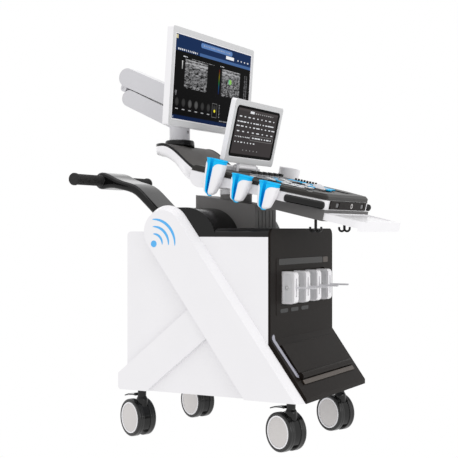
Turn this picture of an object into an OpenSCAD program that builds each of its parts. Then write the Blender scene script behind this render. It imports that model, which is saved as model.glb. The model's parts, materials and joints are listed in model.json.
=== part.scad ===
// Trolley ultrasound scanner: cart body on four twin-wheel casters, lifting and turning
// operator console with a pull-out tray and a touch panel, and a monitor on a folding arm.
// Frame: origin on the floor under the middle of the machine, +X to the operator's right,
// -Y towards the operator, +Z up. All sizes in millimetres.

/* [Cart body] */
// Half width of the body across its side panels
body_hw = 247; // [240:1:250]
// Height of the body's underside above the floor
body_z0 = 163; // [163:1:166]
// Height where the white side panels end
panel_z1 = 670; // [664:1:676]
// Height of the body's flat top
body_z1 = 697; // [694:1:697]
// Front edge of the side panels
panel_y0 = -242; // [-244:1:-240]
// Rear face of the body
rear_y = 279; // [276:1:282]
// Front face of the black fascia above the toe
fascia_y = -250; // [-252:1:-249]
// Height where the fascia starts to slope out to the toe
kink_z = 350; // [345:1:355]
// Foremost line of the toe
toe_y = -372; // [-374:1:-368]
// Skin thickness of the body's covers
skin = 4; // [3:0.5:5]

/* [Side bands] */
// How far the diagonal bands stand out from the side panels
band_t = 25; // [20:1:25]
// Radius of a diagonal band's round head
band_r = 80; // [74:1:82]
// Y of the round head's centre
head_y = 120; // [116:1:124]
// Z of the round head's centre
head_z = 692; // [688:1:694]
// Slope of the diagonal band, in degrees from level
band_angle = 53.6; // [52:0.1:55]
// How far the rear bands stand out from the side panels
rear_band_t = 14; // [10:1:16]

/* [Casters] */
// Wheel diameter
wheel_d = 125; // [125:1:125]
// Half the distance between left and right caster stems
stem_x = 201; // [196:1:204]
// Y of the front stems
stem_y0 = -299; // [-302:1:-296]
// Y of the rear stems
stem_y1 = 251; // [248:1:254]
// Distance from a stem to its wheels' axle
trail = 25; // [22:1:28]
// How far the casters are swivelled, in degrees
caster_turn = 25; // [0:1:60]

/* [Console] */
// Downward pitch of the console towards the operator, in degrees
pitch = 13; // [12:0.5:14]
// Half width of the console
deck_hw = 240; // [236:1:240]
// Y of the console's reference line on the deck
deck_ref_y = -49; // [-52:1:-46]
// Z of the console's reference line on the deck
deck_ref_z = 885.6; // [884:0.1:888]
// Thickness of the black deck
deck_t = 19; // [18:1:20]
// Thickness of deck and white tub together
console_t = 49; // [48:1:50]

/* [Monitor] */
// Half width of the monitor
mon_hw = 285; // [280:1:288]
// Half height of the monitor
mon_hh = 160.5; // [155:0.5:162]
// Forward lean of the monitor, in degrees
mon_lean = 4; // [0:0.5:5]
// Thickness of the monitor's frame
mon_t = 22; // [20:1:24]

/* [Hidden] */

run = 0.05;        // radial running clearance of a shaft in its bore
gap = 0.4;         // gap between parts that move past each other
wheel_r = wheel_d / 2;
white = [0.93, 0.93, 0.94];
black = [0.12, 0.11, 0.11];
grey = [0.36, 0.35, 0.35];
blue = [0.03, 0.55, 0.90];

// --- outline helpers -------------------------------------------------------------------

// Extrudes a (y, z) outline along X, from x0 to x1.
module along_x(x0, x1) {
    translate([x0, 0, 0]) rotate([90, 0, 90]) linear_extrude(x1 - x0) children();
}

// Both mirror halves of a part.
module both_sides() {
    children();
    mirror([1, 0, 0]) children();
}

// A cylinder along X, centred on x = 0.
module x_rod(y, z, r, half_len, fn = 48) {
    translate([-half_len, y, z]) rotate([0, 90, 0]) cylinder(r = r, h = 2 * half_len, $fn = fn);
}

// A rectangle centred on c, w by h, with corners of radius r.
module round_rect(c, w, h, r, fn = 32) {
    translate([c[0] - w / 2, c[1] - h / 2]) {
        translate([r, 0]) square([w - 2 * r, h]);
        translate([0, r]) square([w, h - 2 * r]);
        for (x = [r, w - r], y = [r, h - r]) translate([x, y]) circle(r = r, $fn = fn);
    }
}

// Points of an arc about c, from angle a0 to a1.
function arc(c, r, a0, a1, n = 8) =
    [for (i = [0:n]) c + r * [cos(a0 + (a1 - a0) * i / n), sin(a0 + (a1 - a0) * i / n)]];

// A bar with round ends from p to q.
module capsule(p, q, r, fn = 64) {
    a = atan2(q[1] - p[1], q[0] - p[0]);
    polygon(concat(arc(p, r, a + 90, a + 270, fn / 2), arc(q, r, a - 90, a + 90, fn / 2)));
}

// A smooth step from 0 to 1.
function ease(t) = let (u = min(max(t, 0), 1)) u * u * (3 - 2 * u);

// --- cart body -------------------------------------------------------------------------

stems = [[-stem_x, stem_y0], [stem_x, stem_y0], [-stem_x, stem_y1], [stem_x, stem_y1]];
stem_bolt_r = 6;
stem_bolt_top = 190;
floor_t = 6;
plate_hw = 234.5;
plate_y0 = -340;
ring_z = 640;
post = 25;

module chassis() {
    rail_z = body_z0 + floor_t;
    color([0.5, 0.5, 0.52]) difference() {
        union() {
            translate([-plate_hw, plate_y0, body_z0 + 0.5])
                cube([2 * plate_hw, 272 - plate_y0, floor_t - 0.5]);
            for (s = stems) translate([s[0], s[1], body_z0 + 0.5]) cylinder(r = 22, h = 28, $fn = 48);
            for (x = [-230, 230 - post], y = [-232, 244])
                translate([x, y, rail_z]) cube([post, post, ring_z + post - rail_z]);
            for (x = [-230, 230 - post]) {
                translate([x, -232, ring_z]) cube([post, 476 + post, post]);
                translate([x, -232, rail_z]) cube([post, 476 + post, post]);
            }
            for (y = [-232, 244]) translate([-230, y, ring_z]) cube([460, post, post]);
            translate([-70, -111, rail_z]) cube([140, 229, 14]);
        }
        for (s = stems) translate([s[0], s[1], body_z0 - 1])
            cylinder(r = stem_bolt_r + run, h = stem_bolt_top - body_z0 + 3, $fn = 48);
        along_x(-55, 55) translate([-92, rail_z + 6]) square([190, 20]);
    }
}

corner_r = 14;
flange = 12;
step_y = 178;
rear_z1 = 687;

// Side panel outline, drawn inset by i: raised behind the band's head, its rear corner round.
module panel_outline(i) {
    r = corner_r - i;
    polygon(concat([[panel_y0 + i, body_z0 + i], [rear_y - i, body_z0 + i]],
        arc([rear_y - corner_r, rear_z1 - corner_r], r, 0, 90),
        [[step_y + i, rear_z1 - i], [step_y + i, panel_z1 - i], [panel_y0 + i, panel_z1 - i]]));
}

module right_panel_shape() {
    difference() {
        along_x(body_hw - flange, body_hw) panel_outline(0);
        along_x(body_hw - flange - 1, body_hw - skin) panel_outline(skin);
    }
}
module right_side_panel() { color(white) right_panel_shape(); }
module left_side_panel() { color(white) mirror([1, 0, 0]) right_panel_shape(); }

head = [head_y, head_z];
band_dir = -[cos(band_angle), sin(band_angle)];
band_front = [band_dir[1], -band_dir[0]];
band_reach = 800;

// Diagonal band outline. Its front edge is drawn back by bevel, its whole rim inset by i.
module band_outline(bevel, i = 0) {
    r = band_r - bevel / 2 - i;
    c = head - band_front * bevel / 2;
    intersection() {
        capsule(c, c + band_dir * band_reach, r, 96);
        translate([-500, body_z0 + i]) square([900, 800]);
    }
}

module right_band_shape() {
    bevel = 20;
    difference() {
        hull() {
            along_x(body_hw, body_hw + 2) band_outline(0);
            along_x(body_hw + 8, body_hw + 9) band_outline(4);
            along_x(body_hw + band_t - 1, body_hw + band_t) band_outline(bevel);
        }
        along_x(body_hw - 1, body_hw + band_t - skin) band_outline(bevel, skin + 3);
    }
}
module right_diagonal_band() { color(white) right_band_shape(); }
module left_diagonal_band() { color(white) mirror([1, 0, 0]) right_band_shape(); }

rear_foot_y = 307;
rear_foot_z = 217;

// Rear bands: they rise forward from the rear feet and end at the diagonal bands.
module rear_bands() {
    strip = concat([[198, body_z0], [rear_foot_y - 10, body_z0]],
        arc([rear_foot_y - 10, body_z0 + 10], 10, -90, 0),
        arc([rear_foot_y - 6, rear_foot_z - 3], 6, 0, 50), [[-10, 476], [-80, 389]]);
    color(white) both_sides() difference() {
        along_x(body_hw, body_hw + rear_band_t) polygon(strip);
        along_x(body_hw - 1, body_hw + band_t) band_outline(0);
    }
}

// Slope of the fascia below its kink: a point t along it and n out from it.
slope_end = [toe_y, 178];
slope_dir = (slope_end - [fascia_y, kink_z]) / norm(slope_end - [fascia_y, kink_z]);
slope_out = [slope_dir[1], -slope_dir[0]];
function on_slope(t, n) = [fascia_y, kink_z] + t * slope_dir + n * slope_out;

door_hw = 206.5;
door_t0 = 25.5;
door_t1 = 149;
door_pin = on_slope(door_t0, 0);
door_pin_r = 2.5;
recess_hw = 174;
recess_z0 = 429;
recess_z1 = 597;
recess_d = 10;

// Fascia side outline: straight down to the kink and out to the toe, open at the rear.
module fascia_outline(i) {
    polygon([[panel_y0 + (i > 0 ? 1 : 0), body_z1 - i], [fascia_y + i, body_z1 - i],
        [fascia_y + i, kink_z + i * 0.3], [toe_y + i, slope_end[1] + i * 0.3],
        [toe_y + i, body_z0 + i], [panel_y0 + (i > 0 ? 1 : 0), body_z0 + i]]);
}

edge_r = 24;

// What lies within the body's width and its rounded top edges, drawn inset by i.
module body_width(i) {
    hw = body_hw - i;
    c = [body_hw - edge_r, body_z1 - edge_r];
    translate([0, rear_y, 0]) rotate([90, 0, 0]) linear_extrude(rear_y - toe_y + 10)
        polygon(concat([[-hw, 0], [hw, 0]], arc(c, edge_r - i, 0, 90),
            arc([-c[0], c[1]], edge_r - i, 90, 180)));
}

// A box that lies on the slope, between t0 and t1 along it and n0 and n1 out of it.
module slope_slab(hw, t0, t1, n0, n1) {
    along_x(-hw, hw)
        polygon([on_slope(t0, n0), on_slope(t1, n0), on_slope(t1, n1), on_slope(t0, n1)]);
}

module front_fascia() {
    color(black) difference() {
        union() {
            difference() {
                intersection() {
                    along_x(-body_hw, body_hw) fascia_outline(0);
                    body_width(0);
                }
                intersection() {
                    along_x(skin - body_hw, body_hw - skin) fascia_outline(skin);
                    body_width(skin);
                }
            }
            translate([-recess_hw - 5, fascia_y + 1, recess_z0 - 5])
                cube([2 * recess_hw + 10, recess_d + 4, recess_z1 - recess_z0 + 10]);
            slope_slab(door_hw + 6, door_t0 - 8, door_t1 + 9, -12, -1);
        }
        translate([-recess_hw, fascia_y - 1, recess_z0])
            cube([2 * recess_hw, recess_d + 1, recess_z1 - recess_z0]);
        slope_slab(door_hw + 1.5, door_t0 - 1.5, door_t1 + 3, -4, 5);
        slope_slab(door_hw - 11, door_t0 + 6, door_t1 - 7, -20, 5);
        x_rod(door_pin[0], door_pin[1], door_pin_r + run, door_hw + 5);
        translate([-plate_hw - 1, plate_y0 - 1, body_z0 - 1]) cube([2 * plate_hw + 2, 120, floor_t + 2]);
    }
}

// Lift-up door over the air filter, on a pin along its top edge, with a rounded lip below.
module filter_door() {
    lip = 9;
    color(black) union() {
        x_rod(door_pin[0], door_pin[1], door_pin_r, door_hw + 4);
        slope_slab(door_hw, door_t0, door_t1 - lip, -3.5, 6);
        along_x(-door_hw, door_hw) capsule(on_slope(door_t1 - lip, 5.5),
            on_slope(door_t1 - lip - 4, 5.5), lip, 48);
    }
}

module air_filter() {
    color([0.25, 0.25, 0.27]) difference() {
        slope_slab(door_hw - 2, door_t0, door_t1 - 1, -21, -12);
        for (i = [-4:4]) filter_window(i * 44);
    }
}

// One window of the filter's grid.
module filter_window(x) {
    translate([x, 0, 0]) slope_slab(18, door_t0 + 12, door_t1 - 13, -22, -16);
}

hump_z = 765;
hump_front_r = 109;
hump_rear_r = 34;
head_hx = 79;
lift_y0 = -112;
lift_y1 = 113;

// Outline of the rounded black hump on the body's top, drawn inset by i.
module hump_outline(i) {
    y1 = step_y - 1.5;
    polygon(concat([[y1 - i, panel_z1 - i]],
        arc([y1 - hump_rear_r, hump_z - hump_rear_r], hump_rear_r - i, 0, 90),
        arc([54, hump_z - hump_front_r], hump_front_r - i, 90, 172, 16),
        [[54 - hump_front_r + i, panel_z1 - i]]));
}

// Flat part of the top in front of the hump and under it, drawn inset by i.
module cover_front(i) {
    intersection() {
        along_x(i - body_hw, body_hw - i) translate([panel_y0 - (i > 0 ? 1 : 0), panel_z1 - i])
            square([step_y - 1 - panel_y0 - (i > 0 ? i - 1 : 0), body_z1 - panel_z1]);
        body_width(i);
    }
}

// Lower part of the top at the rear, between the raised side panels, drawn inset by i.
module cover_rear(i) {
    hw = body_hw - flange - 0.5 - i;
    z1 = rear_z1 - 3;
    along_x(-hw, hw) polygon(concat([[step_y - 10, panel_z1 - i], [rear_y - i, panel_z1 - i]],
        arc([rear_y - 12, z1 - 12], 12 - i, 0, 90), [[step_y - 10, z1 - i]]));
}

module top_cover() {
    hump_hw = body_hw - 1.5;
    color(black) difference() {
        union() {
            cover_front(0);
            cover_rear(0);
            along_x(-hump_hw, hump_hw) hump_outline(0);
        }
        cover_front(skin);
        cover_rear(skin);
        along_x(skin - hump_hw, hump_hw - skin) hump_outline(skin);
        translate([-head_hx - 2, lift_y0 - 2, panel_z1 - 1])
            cube([2 * head_hx + 4, lift_y1 - lift_y0 + 4, 120]);
        handle_solid();
    }
}

module rear_panel() {
    color(black) difference() {
        translate([-234, rear_y - skin, body_z0 + 13]) cube([468, skin, panel_z1 - body_z0 - 26]);
        for (z = [260:16:420]) translate([-150, rear_y - skin - 1, z]) cube([300, skin + 2, 7]);
        translate([-198, rear_y - skin - 1, 200]) cube([36, skin + 2, 28]);
    }
}

module mains_inlet() {
    color(black) difference() {
        union() {
            translate([-198, rear_y - 32, 200]) cube([36, 32, 28]);
            translate([-203, rear_y - skin - 3, 195]) cube([46, 3, 38]);
        }
        translate([-192, rear_y - 20, 205]) cube([24, 21, 18]);
    }
}

port_pitch = 91;
port_w = 32;
port_y0 = fascia_y + recess_d;
port_y1 = -288;
port_zc = 508.5;
port_hh = 51.5;
lever_y = -262;
lever_pin_r = 3;

// Probe connectors: four upright blocks on a shallow back plate, each slotted for its lever.
module probe_ports() {
    corner = 13;
    color(white) difference() {
        union() {
            translate([-recess_hw + 2, port_y0 - 3, recess_z0 + 2])
                cube([2 * recess_hw - 4, 3, recess_z1 - recess_z0 - 4]);
            for (i = [-1.5:1.5]) along_x(i * port_pitch - port_w / 2, i * port_pitch + port_w / 2)
                polygon(concat([[port_y0 - 3, port_zc + port_hh]],
                    arc([port_y1 + corner, port_zc + port_hh - corner], corner, 90, 180),
                    arc([port_y1 + corner, port_zc - port_hh + corner], corner, 180, 270),
                    [[port_y0 - 3, port_zc - port_hh]]));
        }
        for (i = [-1.5:1.5]) translate([i * port_pitch, 0, 0]) {
            translate([-3.4, port_y1 - 1, port_zc - 30]) cube([6.8, 44, 60]);
            translate([port_w / 2 - 2, port_y1 + 8, port_zc - port_hh + 8])
                cube([3, port_y0 - port_y1 - 19, 2 * port_hh - 16]);
            translate([-port_w / 2 - 1, port_y1 + 8, port_zc - port_hh + 8])
                cube([3, port_y0 - port_y1 - 19, 2 * port_hh - 16]);
        }
    }
    color(white) for (i = [-1.5:1.5]) translate([i * port_pitch, 0, 0])
        x_rod(lever_y, port_zc, lever_pin_r, port_w / 2 + 1);
}

// Locking lever of connector n: a thin rod on a hub that turns on the block's cross pin.
module port_lever(n) {
    color([0.8, 0.8, 0.82]) translate([(n - 2.5) * port_pitch, 0, 0]) difference() {
        along_x(-2.7, 2.7) {
            capsule([lever_y, port_zc], [-353, port_zc], 2.8, 32);
            translate([lever_y, port_zc]) circle(r = 7.5, $fn = 48);
        }
        x_rod(lever_y, port_zc, lever_pin_r + run, 5);
    }
}
module port_lever_1() { port_lever(1); }
module port_lever_2() { port_lever(2); }
module port_lever_3() { port_lever(3); }
module port_lever_4() { port_lever(4); }

bar_y = 507.5;
bar_z = 867;
handle_t = 14;
handle_hw = 72;

// Push handle's arm: a foot on the frame, a broad rising arm and a level end at the bar.
module handle_solid() {
    bend = [361, 832];
    translate([-60, 244, ring_z + post]) cube([120, 25, 735 - ring_z - post]);
    along_x(-handle_hw, handle_hw) {
        capsule([262, 738], bend, handle_t);
        capsule(bend, [500, 866], handle_t);
    }
}

module handle_frame() {
    color(black) {
        handle_solid();
        x_rod(bar_y, bar_z, 19, 76);
        x_rod(bar_y, bar_z, 12, 232);
    }
}

module handle_grips() {
    color([0.1, 0.1, 0.1]) both_sides() difference() {
        translate([76, bar_y, bar_z]) rotate([0, 90, 0]) {
            cylinder(r = 18, h = 152, $fn = 64);
            for (i = [0:11]) translate([0, 0, 8 + i * 12]) cylinder(r = 19, h = 6, $fn = 64);
            translate([0, 0, 150]) cylinder(r = 21.5, h = 12, $fn = 64);
        }
        x_rod(bar_y, bar_z, 12, 232);
    }
}

sleeve_hx = 62;
mast_hx = 57.5;
sleeve_y = [-103, 110];
mast_y = [-98.5, 105.5];
mast_top = 750;

module lift_sleeve() {
    z0 = body_z0 + floor_t + 14;
    color([0.55, 0.55, 0.57]) difference() {
        translate([-sleeve_hx, sleeve_y[0], z0])
            cube([2 * sleeve_hx, sleeve_y[1] - sleeve_y[0], 668 - z0]);
        translate([-mast_hx - 0.5, mast_y[0] - 0.5, z0 + 8])
            cube([2 * mast_hx + 1, mast_y[1] - mast_y[0] + 1, 600]);
    }
}

module lift_mast() {
    wall = 5;
    color([0.2, 0.2, 0.2]) difference() {
        translate([-mast_hx, mast_y[0], 330]) cube([2 * mast_hx, mast_y[1] - mast_y[0], mast_top - 330]);
        translate([wall - mast_hx, mast_y[0] + wall, 329])
            cube([2 * (mast_hx - wall), mast_y[1] - mast_y[0] - 2 * wall, mast_top - 329 - 8]);
    }
}

post_r = 54;
post_top = 811.7;
pivot_r = 20;

// Lift head: the box that carries the console, with its swivel post and pivot pin on top.
module lift_head() {
    front_z = 774;
    rear_z = 810;
    color(grey) difference() {
        union() {
            along_x(-head_hx, head_hx) polygon([[lift_y0, body_z1 + 1], [lift_y1, body_z1 + 1],
                [lift_y1, rear_z], [lift_y0, front_z]]);
            translate([0, 0, 770]) cylinder(r = post_r, h = post_top - 770, $fn = 96);
            translate([0, 0, 800]) cylinder(r = pivot_r, h = 50, $fn = 64);
        }
        translate([-mast_hx, mast_y[0], body_z1])
            cube([2 * mast_hx, mast_y[1] - mast_y[0], mast_top - body_z1]);
        for (x = [-54:27:54]) translate([x - 2.5, lift_y0 - 1, body_z1]) cube([5, 3.5, 60]);
    }
}

module power_supply() {
    color([0.65, 0.66, 0.68]) difference() {
        translate([-200, 104, body_z0 + floor_t]) cube([128, 112, 150]);
        for (x = [-190:10:-90]) translate([x, 215, 186]) cube([5, 2, 110]);
    }
}

module card_cage() {
    z0 = body_z0 + floor_t;
    color([0.6, 0.62, 0.6]) {
        translate([78, -220, z0]) cube([120, 400, 14]);
        for (y = [-220, 170]) translate([78, y, z0 + 14]) cube([120, 10, 330]);
        for (x = [86:18:176]) translate([x, -210, z0 + 14]) cube([3, 380, 300]);
    }
}

// --- casters ---------------------------------------------------------------------------

hood_hw = 11;
wheel_w = 23;
axle_r = 8;
brake_pin = [20, 140];
brake_pin_r = 2.5;
lug_r = 5;
lug_hw = 6;

// Places children at stem n, with +Y pointing where the wheels trail.
module at_stem(n) {
    translate([stems[n][0], stems[n][1], 0]) rotate(-caster_turn) children();
}

// Swivelling part of a caster: bolt, tapering neck and the hood between the wheels.
// The left casters also carry a lug and cross pin for their brakes.
module caster(n) {
    color(black) at_stem(n) difference() {
        union() {
            translate([0, 0, 150]) cylinder(r = stem_bolt_r, h = stem_bolt_top - 150, $fn = 48);
            rotate_extrude($fn = 64) polygon([[0, 100], [21, 100], [19, 126], [14, 136],
                [14.5, 154], [17, 158], [17, body_z0 - gap], [0, body_z0 - gap]]);
            translate([0, trail, wheel_r]) intersection() {
                rotate([0, 90, 0]) cylinder(r = wheel_r - 2.5, h = 2 * hood_hw, center = true, $fn = 96);
                translate([-50, -80, -wheel_r + 26]) cube([100, 160, 160]);
            }
            if (n % 2 == 0) {
                along_x(-lug_hw, lug_hw) capsule([8, brake_pin[1]], brake_pin, lug_r, 48);
                x_rod(brake_pin[0], brake_pin[1], brake_pin_r, 15);
            }
        }
        translate([0, trail, wheel_r]) rotate([0, 90, 0])
            cylinder(r = axle_r + run, h = 100, center = true, $fn = 64);
        for (s = [-1, 1]) translate([s * (hood_hw + gap + 20), trail, wheel_r]) rotate([0, 90, 0])
            cylinder(r = wheel_r + 0.8, h = 40, center = true, $fn = 96);
    }
}
module front_left_caster() { caster(0); }
module front_right_caster() { caster(1); }
module rear_left_caster() { caster(2); }
module rear_right_caster() { caster(3); }

// The two wheels of caster n on their common axle.
module wheels(n) {
    w = wheel_w;
    r = wheel_r;
    color([0.15, 0.15, 0.15]) at_stem(n) translate([0, trail, r]) rotate([0, 90, 0]) {
        cylinder(r = axle_r, h = 2 * hood_hw + 4, center = true, $fn = 64);
        for (s = [-1, 1]) mirror([0, 0, s < 0 ? 1 : 0]) translate([0, 0, hood_hw + gap])
            rotate_extrude($fn = 96) polygon(concat([[0, 0]], [[r - 1.5, 0], [r, 1.5]],
                arc([r - 6, w - 6], 6, 0, 90, 6), [[52, w], [50, w - 2], [0, w - 2]]));
    }
}
module front_left_wheels() { wheels(0); }
module front_right_wheels() { wheels(1); }
module rear_left_wheels() { wheels(2); }
module rear_right_wheels() { wheels(3); }

// Foot brake of caster n: a thin tab over the wheels, hinged on the caster's lug.
module brake(n) {
    color(black) at_stem(n) difference() {
        union() {
            along_x(-16, 16) {
                capsule([brake_pin[0] + 2, brake_pin[1] - 2], [62, 136], 1.8, 24);
                capsule([62, 136], [84, 129], 1.8, 24);
            }
            x_rod(brake_pin[0], brake_pin[1], lug_r, 16);
        }
        along_x(-lug_hw - gap, lug_hw + gap) translate([0, 120]) square([brake_pin[0] + lug_r + 1, 40]);
        x_rod(brake_pin[0], brake_pin[1], brake_pin_r + run, 20);
    }
}
module front_left_brake() { brake(0); }
module rear_left_brake() { brake(2); }

// --- console ---------------------------------------------------------------------------

// Console frame: x across, y along the deck to the rear, z out of the deck.
module on_console() {
    translate([0, deck_ref_y, deck_ref_z]) rotate([pitch, 0, 0]) children();
}

con_front = -375;
con_rear = 84;
corner_y = -258;
front_hw = 186;

// Plan outline of the console, drawn inset by i.
module console_outline(i) {
    polygon(concat([[-deck_hw + i, con_rear - i]],
        arc([-deck_hw + 40, corner_y + 6], 40 - i, 180, 206, 5),
        arc([-front_hw + 22, con_front + 30], 30 - i, 206, 270, 6),
        arc([front_hw - 22, con_front + 30], 30 - i, 270, 334, 6),
        arc([deck_hw - 40, corner_y + 6], 40 - i, 334, 360, 5),
        [[deck_hw - i, con_rear - i]]));
}

holder_v = [-17.5, -116, -214];
holder_w = [31, 1, -1];
holder_x = -265;
gel_x = 252;
gel_v = -29;
gel_r = 38;
gel_bore_r = 31;
gel_top = 34;
gel_floor = -45;
grip_p = [-233, -272];
grip_q = [-196, -362];
grip_r = 10.5;
grip_w = -36;

// Places children along the left corner's grip, with +X along it and +Y out of the console.
module at_left_grip() {
    d = grip_q - grip_p;
    translate([grip_p[0], grip_p[1], 0]) rotate(atan2(d[1], d[0])) mirror([0, 1, 0]) children();
}
grip_len = norm(grip_q - grip_p);

// Side outline of the console's lower shell, drawn inset by i: its floor drops level towards
// the rear and ends in a round corner.
module tub_side(i) {
    a = [con_rear - 50, i - 67];
    b = [con_rear - 12 - i / 2, i - 74.5];
    c = [con_rear - i, -46];
    polygon(concat([[con_front - 5, i - console_t], [-55, i - console_t]],
        [for (t = [0:0.2:1]) (1 - t) * (1 - t) * a + 2 * t * (1 - t) * b + t * t * c],
        [[con_rear - i, 0], [con_front - 5, 0]]));
}

// White lower shell of the console.
module console_tub() {
    rear_z = -77;
    wall = 4;
    hub_r = 56;
    color(white) difference() {
        union() {
            on_console() difference() {
                intersection() {
                    translate([0, 0, rear_z - 5]) linear_extrude(-rear_z + 5 - deck_t) console_outline(0);
                    along_x(-300, 300) tub_side(0);
                }
                intersection() {
                    translate([0, 0, rear_z]) linear_extrude(-rear_z) console_outline(wall);
                    along_x(-300, 300) tub_side(wall);
                }
                translate([-front_hw + 34, con_front - 1, -console_t + 3])
                    cube([2 * front_hw - 68, 3, console_t - deck_t]);
            }
            translate([0, 0, 812]) cylinder(r = hub_r, h = 18, $fn = 96);
            translate([0, 0, 812]) cylinder(r = pivot_r + 9, h = 42, $fn = 64);
            on_console() both_sides() intersection() {
                grip_wall();
                translate([0, 0, -console_t]) linear_extrude(console_t - deck_t) console_outline(0);
            }
        }
        translate([0, 0, 800]) cylinder(r = pivot_r + run, h = 52, $fn = 64);
        on_console() both_sides() at_left_grip() grip_notch(0);
        on_console() translate([gel_x, gel_v, -100]) cylinder(r = gel_r, h = 200, $fn = 96);
    }
}

// Wall behind a grip's finger gap.
module grip_wall() {
    at_left_grip() grip_notch(4);
}

// Finger space around the left grip, made larger by e.
module grip_notch(e) {
    translate([-6 - e, -31 - e, -console_t - 5]) cube([grip_len + 12 + 2 * e, 60, 30 + e]);
}

module side_grips() {
    color([0.08, 0.08, 0.08]) on_console() both_sides() at_left_grip() {
        translate([0, -2, grip_w]) rotate([0, 90, 0]) {
            cylinder(r = grip_r, h = grip_len, $fn = 48);
            translate([0, 0, -6]) cylinder(r = grip_r - 2, h = 6, $fn = 48);
            translate([0, 0, grip_len]) cylinder(r = grip_r - 2, h = 6, $fn = 48);
        }
    }
}

key_pocket = 3;
ball_v = -262;
ball_r = 25;
ball_w = -9;
knob_v = -75;
knob_x = [-110, -70, -30];
tgc_x = 158;

// Black deck: bevelled rim, key pocket, slider slots and the trackball's socket.
module console_deck() {
    color(black) on_console() difference() {
        hull() {
            translate([0, 0, -deck_t]) linear_extrude(deck_t - 7) console_outline(1);
            translate([0, 0, -1]) linear_extrude(1) console_outline(9);
        }
        translate([0, ball_v, ball_w]) cylinder(r = ball_r + gap, h = 20, $fn = 96);
        translate([0, ball_v, ball_w]) sphere(r = ball_r + gap, $fn = 96);
        translate([-205, -330, -key_pocket]) cube([345, 232, 10]);
        translate([tgc_x - 16, -188, -key_pocket - 4]) cube([32, 94, 10]);
        for (x = knob_x) translate([x, knob_v, -12]) cylinder(r = 3 + run, h = 20, $fn = 32);
        translate([gel_x, gel_v, -100]) cylinder(r = gel_r, h = 200, $fn = 96);
    }
}

module connector_panel() {
    hw = front_hw - 34;
    color([0.2, 0.19, 0.18]) on_console() difference() {
        translate([-hw, con_front - 4, -console_t + 3]) cube([2 * hw, 6, console_t - deck_t - 3]);
        for (x = [-0.62, 0.78]) translate([x * hw - 13, con_front - 5, -console_t + 9])
            cube([26, 3, 16]);
        translate([0.15 * hw, con_front - 1, -console_t + 16]) rotate([90, 0, 0])
            cylinder(r = 7, h = 5, $fn = 32);
    }
}

// Outer body of a probe holder whose mouth is at height w: an oval cup that narrows down.
module holder_body(v, w, depth, inset) {
    translate([holder_x, v, w]) hull() {
        translate([0, 0, -30]) linear_extrude(30)
            round_rect([0, 0], 50 - 2 * inset, 66 - 2 * inset, 20 - inset, 32);
        translate([4, 6, -depth + inset * 0.6]) linear_extrude(2)
            round_rect([0, 0], 34 - 2 * inset, 34 - 2 * inset, 14 - inset, 32);
    }
}

holder_depth = [112, 82, 82];

// Cable slot of a holder, on its outer side towards the rear.
module holder_slot(v, extra) {
    translate([holder_x - 30, v + 9 - extra, -150]) cube([30, 12 + 2 * extra, 220]);
}

module probe_holders() {
    color(white) on_console() difference() {
        for (i = [0:2]) {
            holder_body(holder_v[i], holder_w[i], holder_depth[i], 0);
            translate([-deck_hw - 3, holder_v[i] - 16, -console_t + 6]) cube([3, 32, 20]);
        }
        for (i = [0:2]) {
            translate([0, 0, 3]) holder_body(holder_v[i], holder_w[i], holder_depth[i], 4);
            holder_slot(holder_v[i], 0);
        }
        translate([-deck_hw, -400, -200]) cube([100, 600, 400]);
    }
}

module holder_liners() {
    color(blue) on_console() difference() {
        for (i = [0:2]) translate([0, 0, 3]) holder_body(holder_v[i], holder_w[i], holder_depth[i], 4);
        for (i = [0:2]) {
            translate([0, 0, 7]) holder_body(holder_v[i], holder_w[i], holder_depth[i], 7);
            holder_slot(holder_v[i], 2);
        }
        translate([-deck_hw, -400, -200]) cube([100, 600, 400]);
    }
}

module gel_cup() {
    color(white) on_console() difference() {
        translate([gel_x, gel_v, gel_floor - 4])
            cylinder(r = gel_r, h = gel_top - gel_floor + 4, $fn = 96);
        translate([gel_x, gel_v, gel_floor]) cylinder(r = gel_bore_r, h = 200, $fn = 96);
    }
}

tray_w0 = -80;
tray_w1 = -58;
tray_hw = 185.5;
tray_front = -506;

// Dark flat sleeve under the console that the tray slides out of.
module tray_housing() {
    color(grey) on_console() difference() {
        translate([-tray_hw - 4.5, con_front - 3, tray_w0 - 4])
            cube([2 * tray_hw + 9, -con_front - 157, -console_t - tray_w0 + 4]);
        translate([-tray_hw - gap, con_front - 4, tray_w0 - gap])
            cube([2 * tray_hw + 2 * gap, -con_front - 162, tray_w1 - tray_w0 + 2 * gap]);
    }
}

module keyboard_tray() {
    lip = 16;
    color(white) on_console() difference() {
        union() {
            intersection() {
                translate([0, 0, tray_w0]) linear_extrude(tray_w1 - tray_w0)
                    round_rect([0, tray_front + 150], 2 * tray_hw, 300, 26);
                translate([-200, tray_front, -100]) cube([400, 196, 60]);
            }
            intersection() {
                translate([0, 0, tray_w0 - 8]) linear_extrude(tray_w1 - tray_w0 + 8)
                    round_rect([0, tray_front + 150], 2 * tray_hw, 300, 26);
                translate([-200, tray_front, -100]) cube([400, lip - 4, 60]);
            }
        }
        translate([0, 0, tray_w1 - 3]) linear_extrude(10)
            round_rect([0, tray_front + 78], 2 * tray_hw - 44, 96, 12);
    }
}

hook_x = 120;
hook_y = -347;
hook_z = 697;

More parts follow.
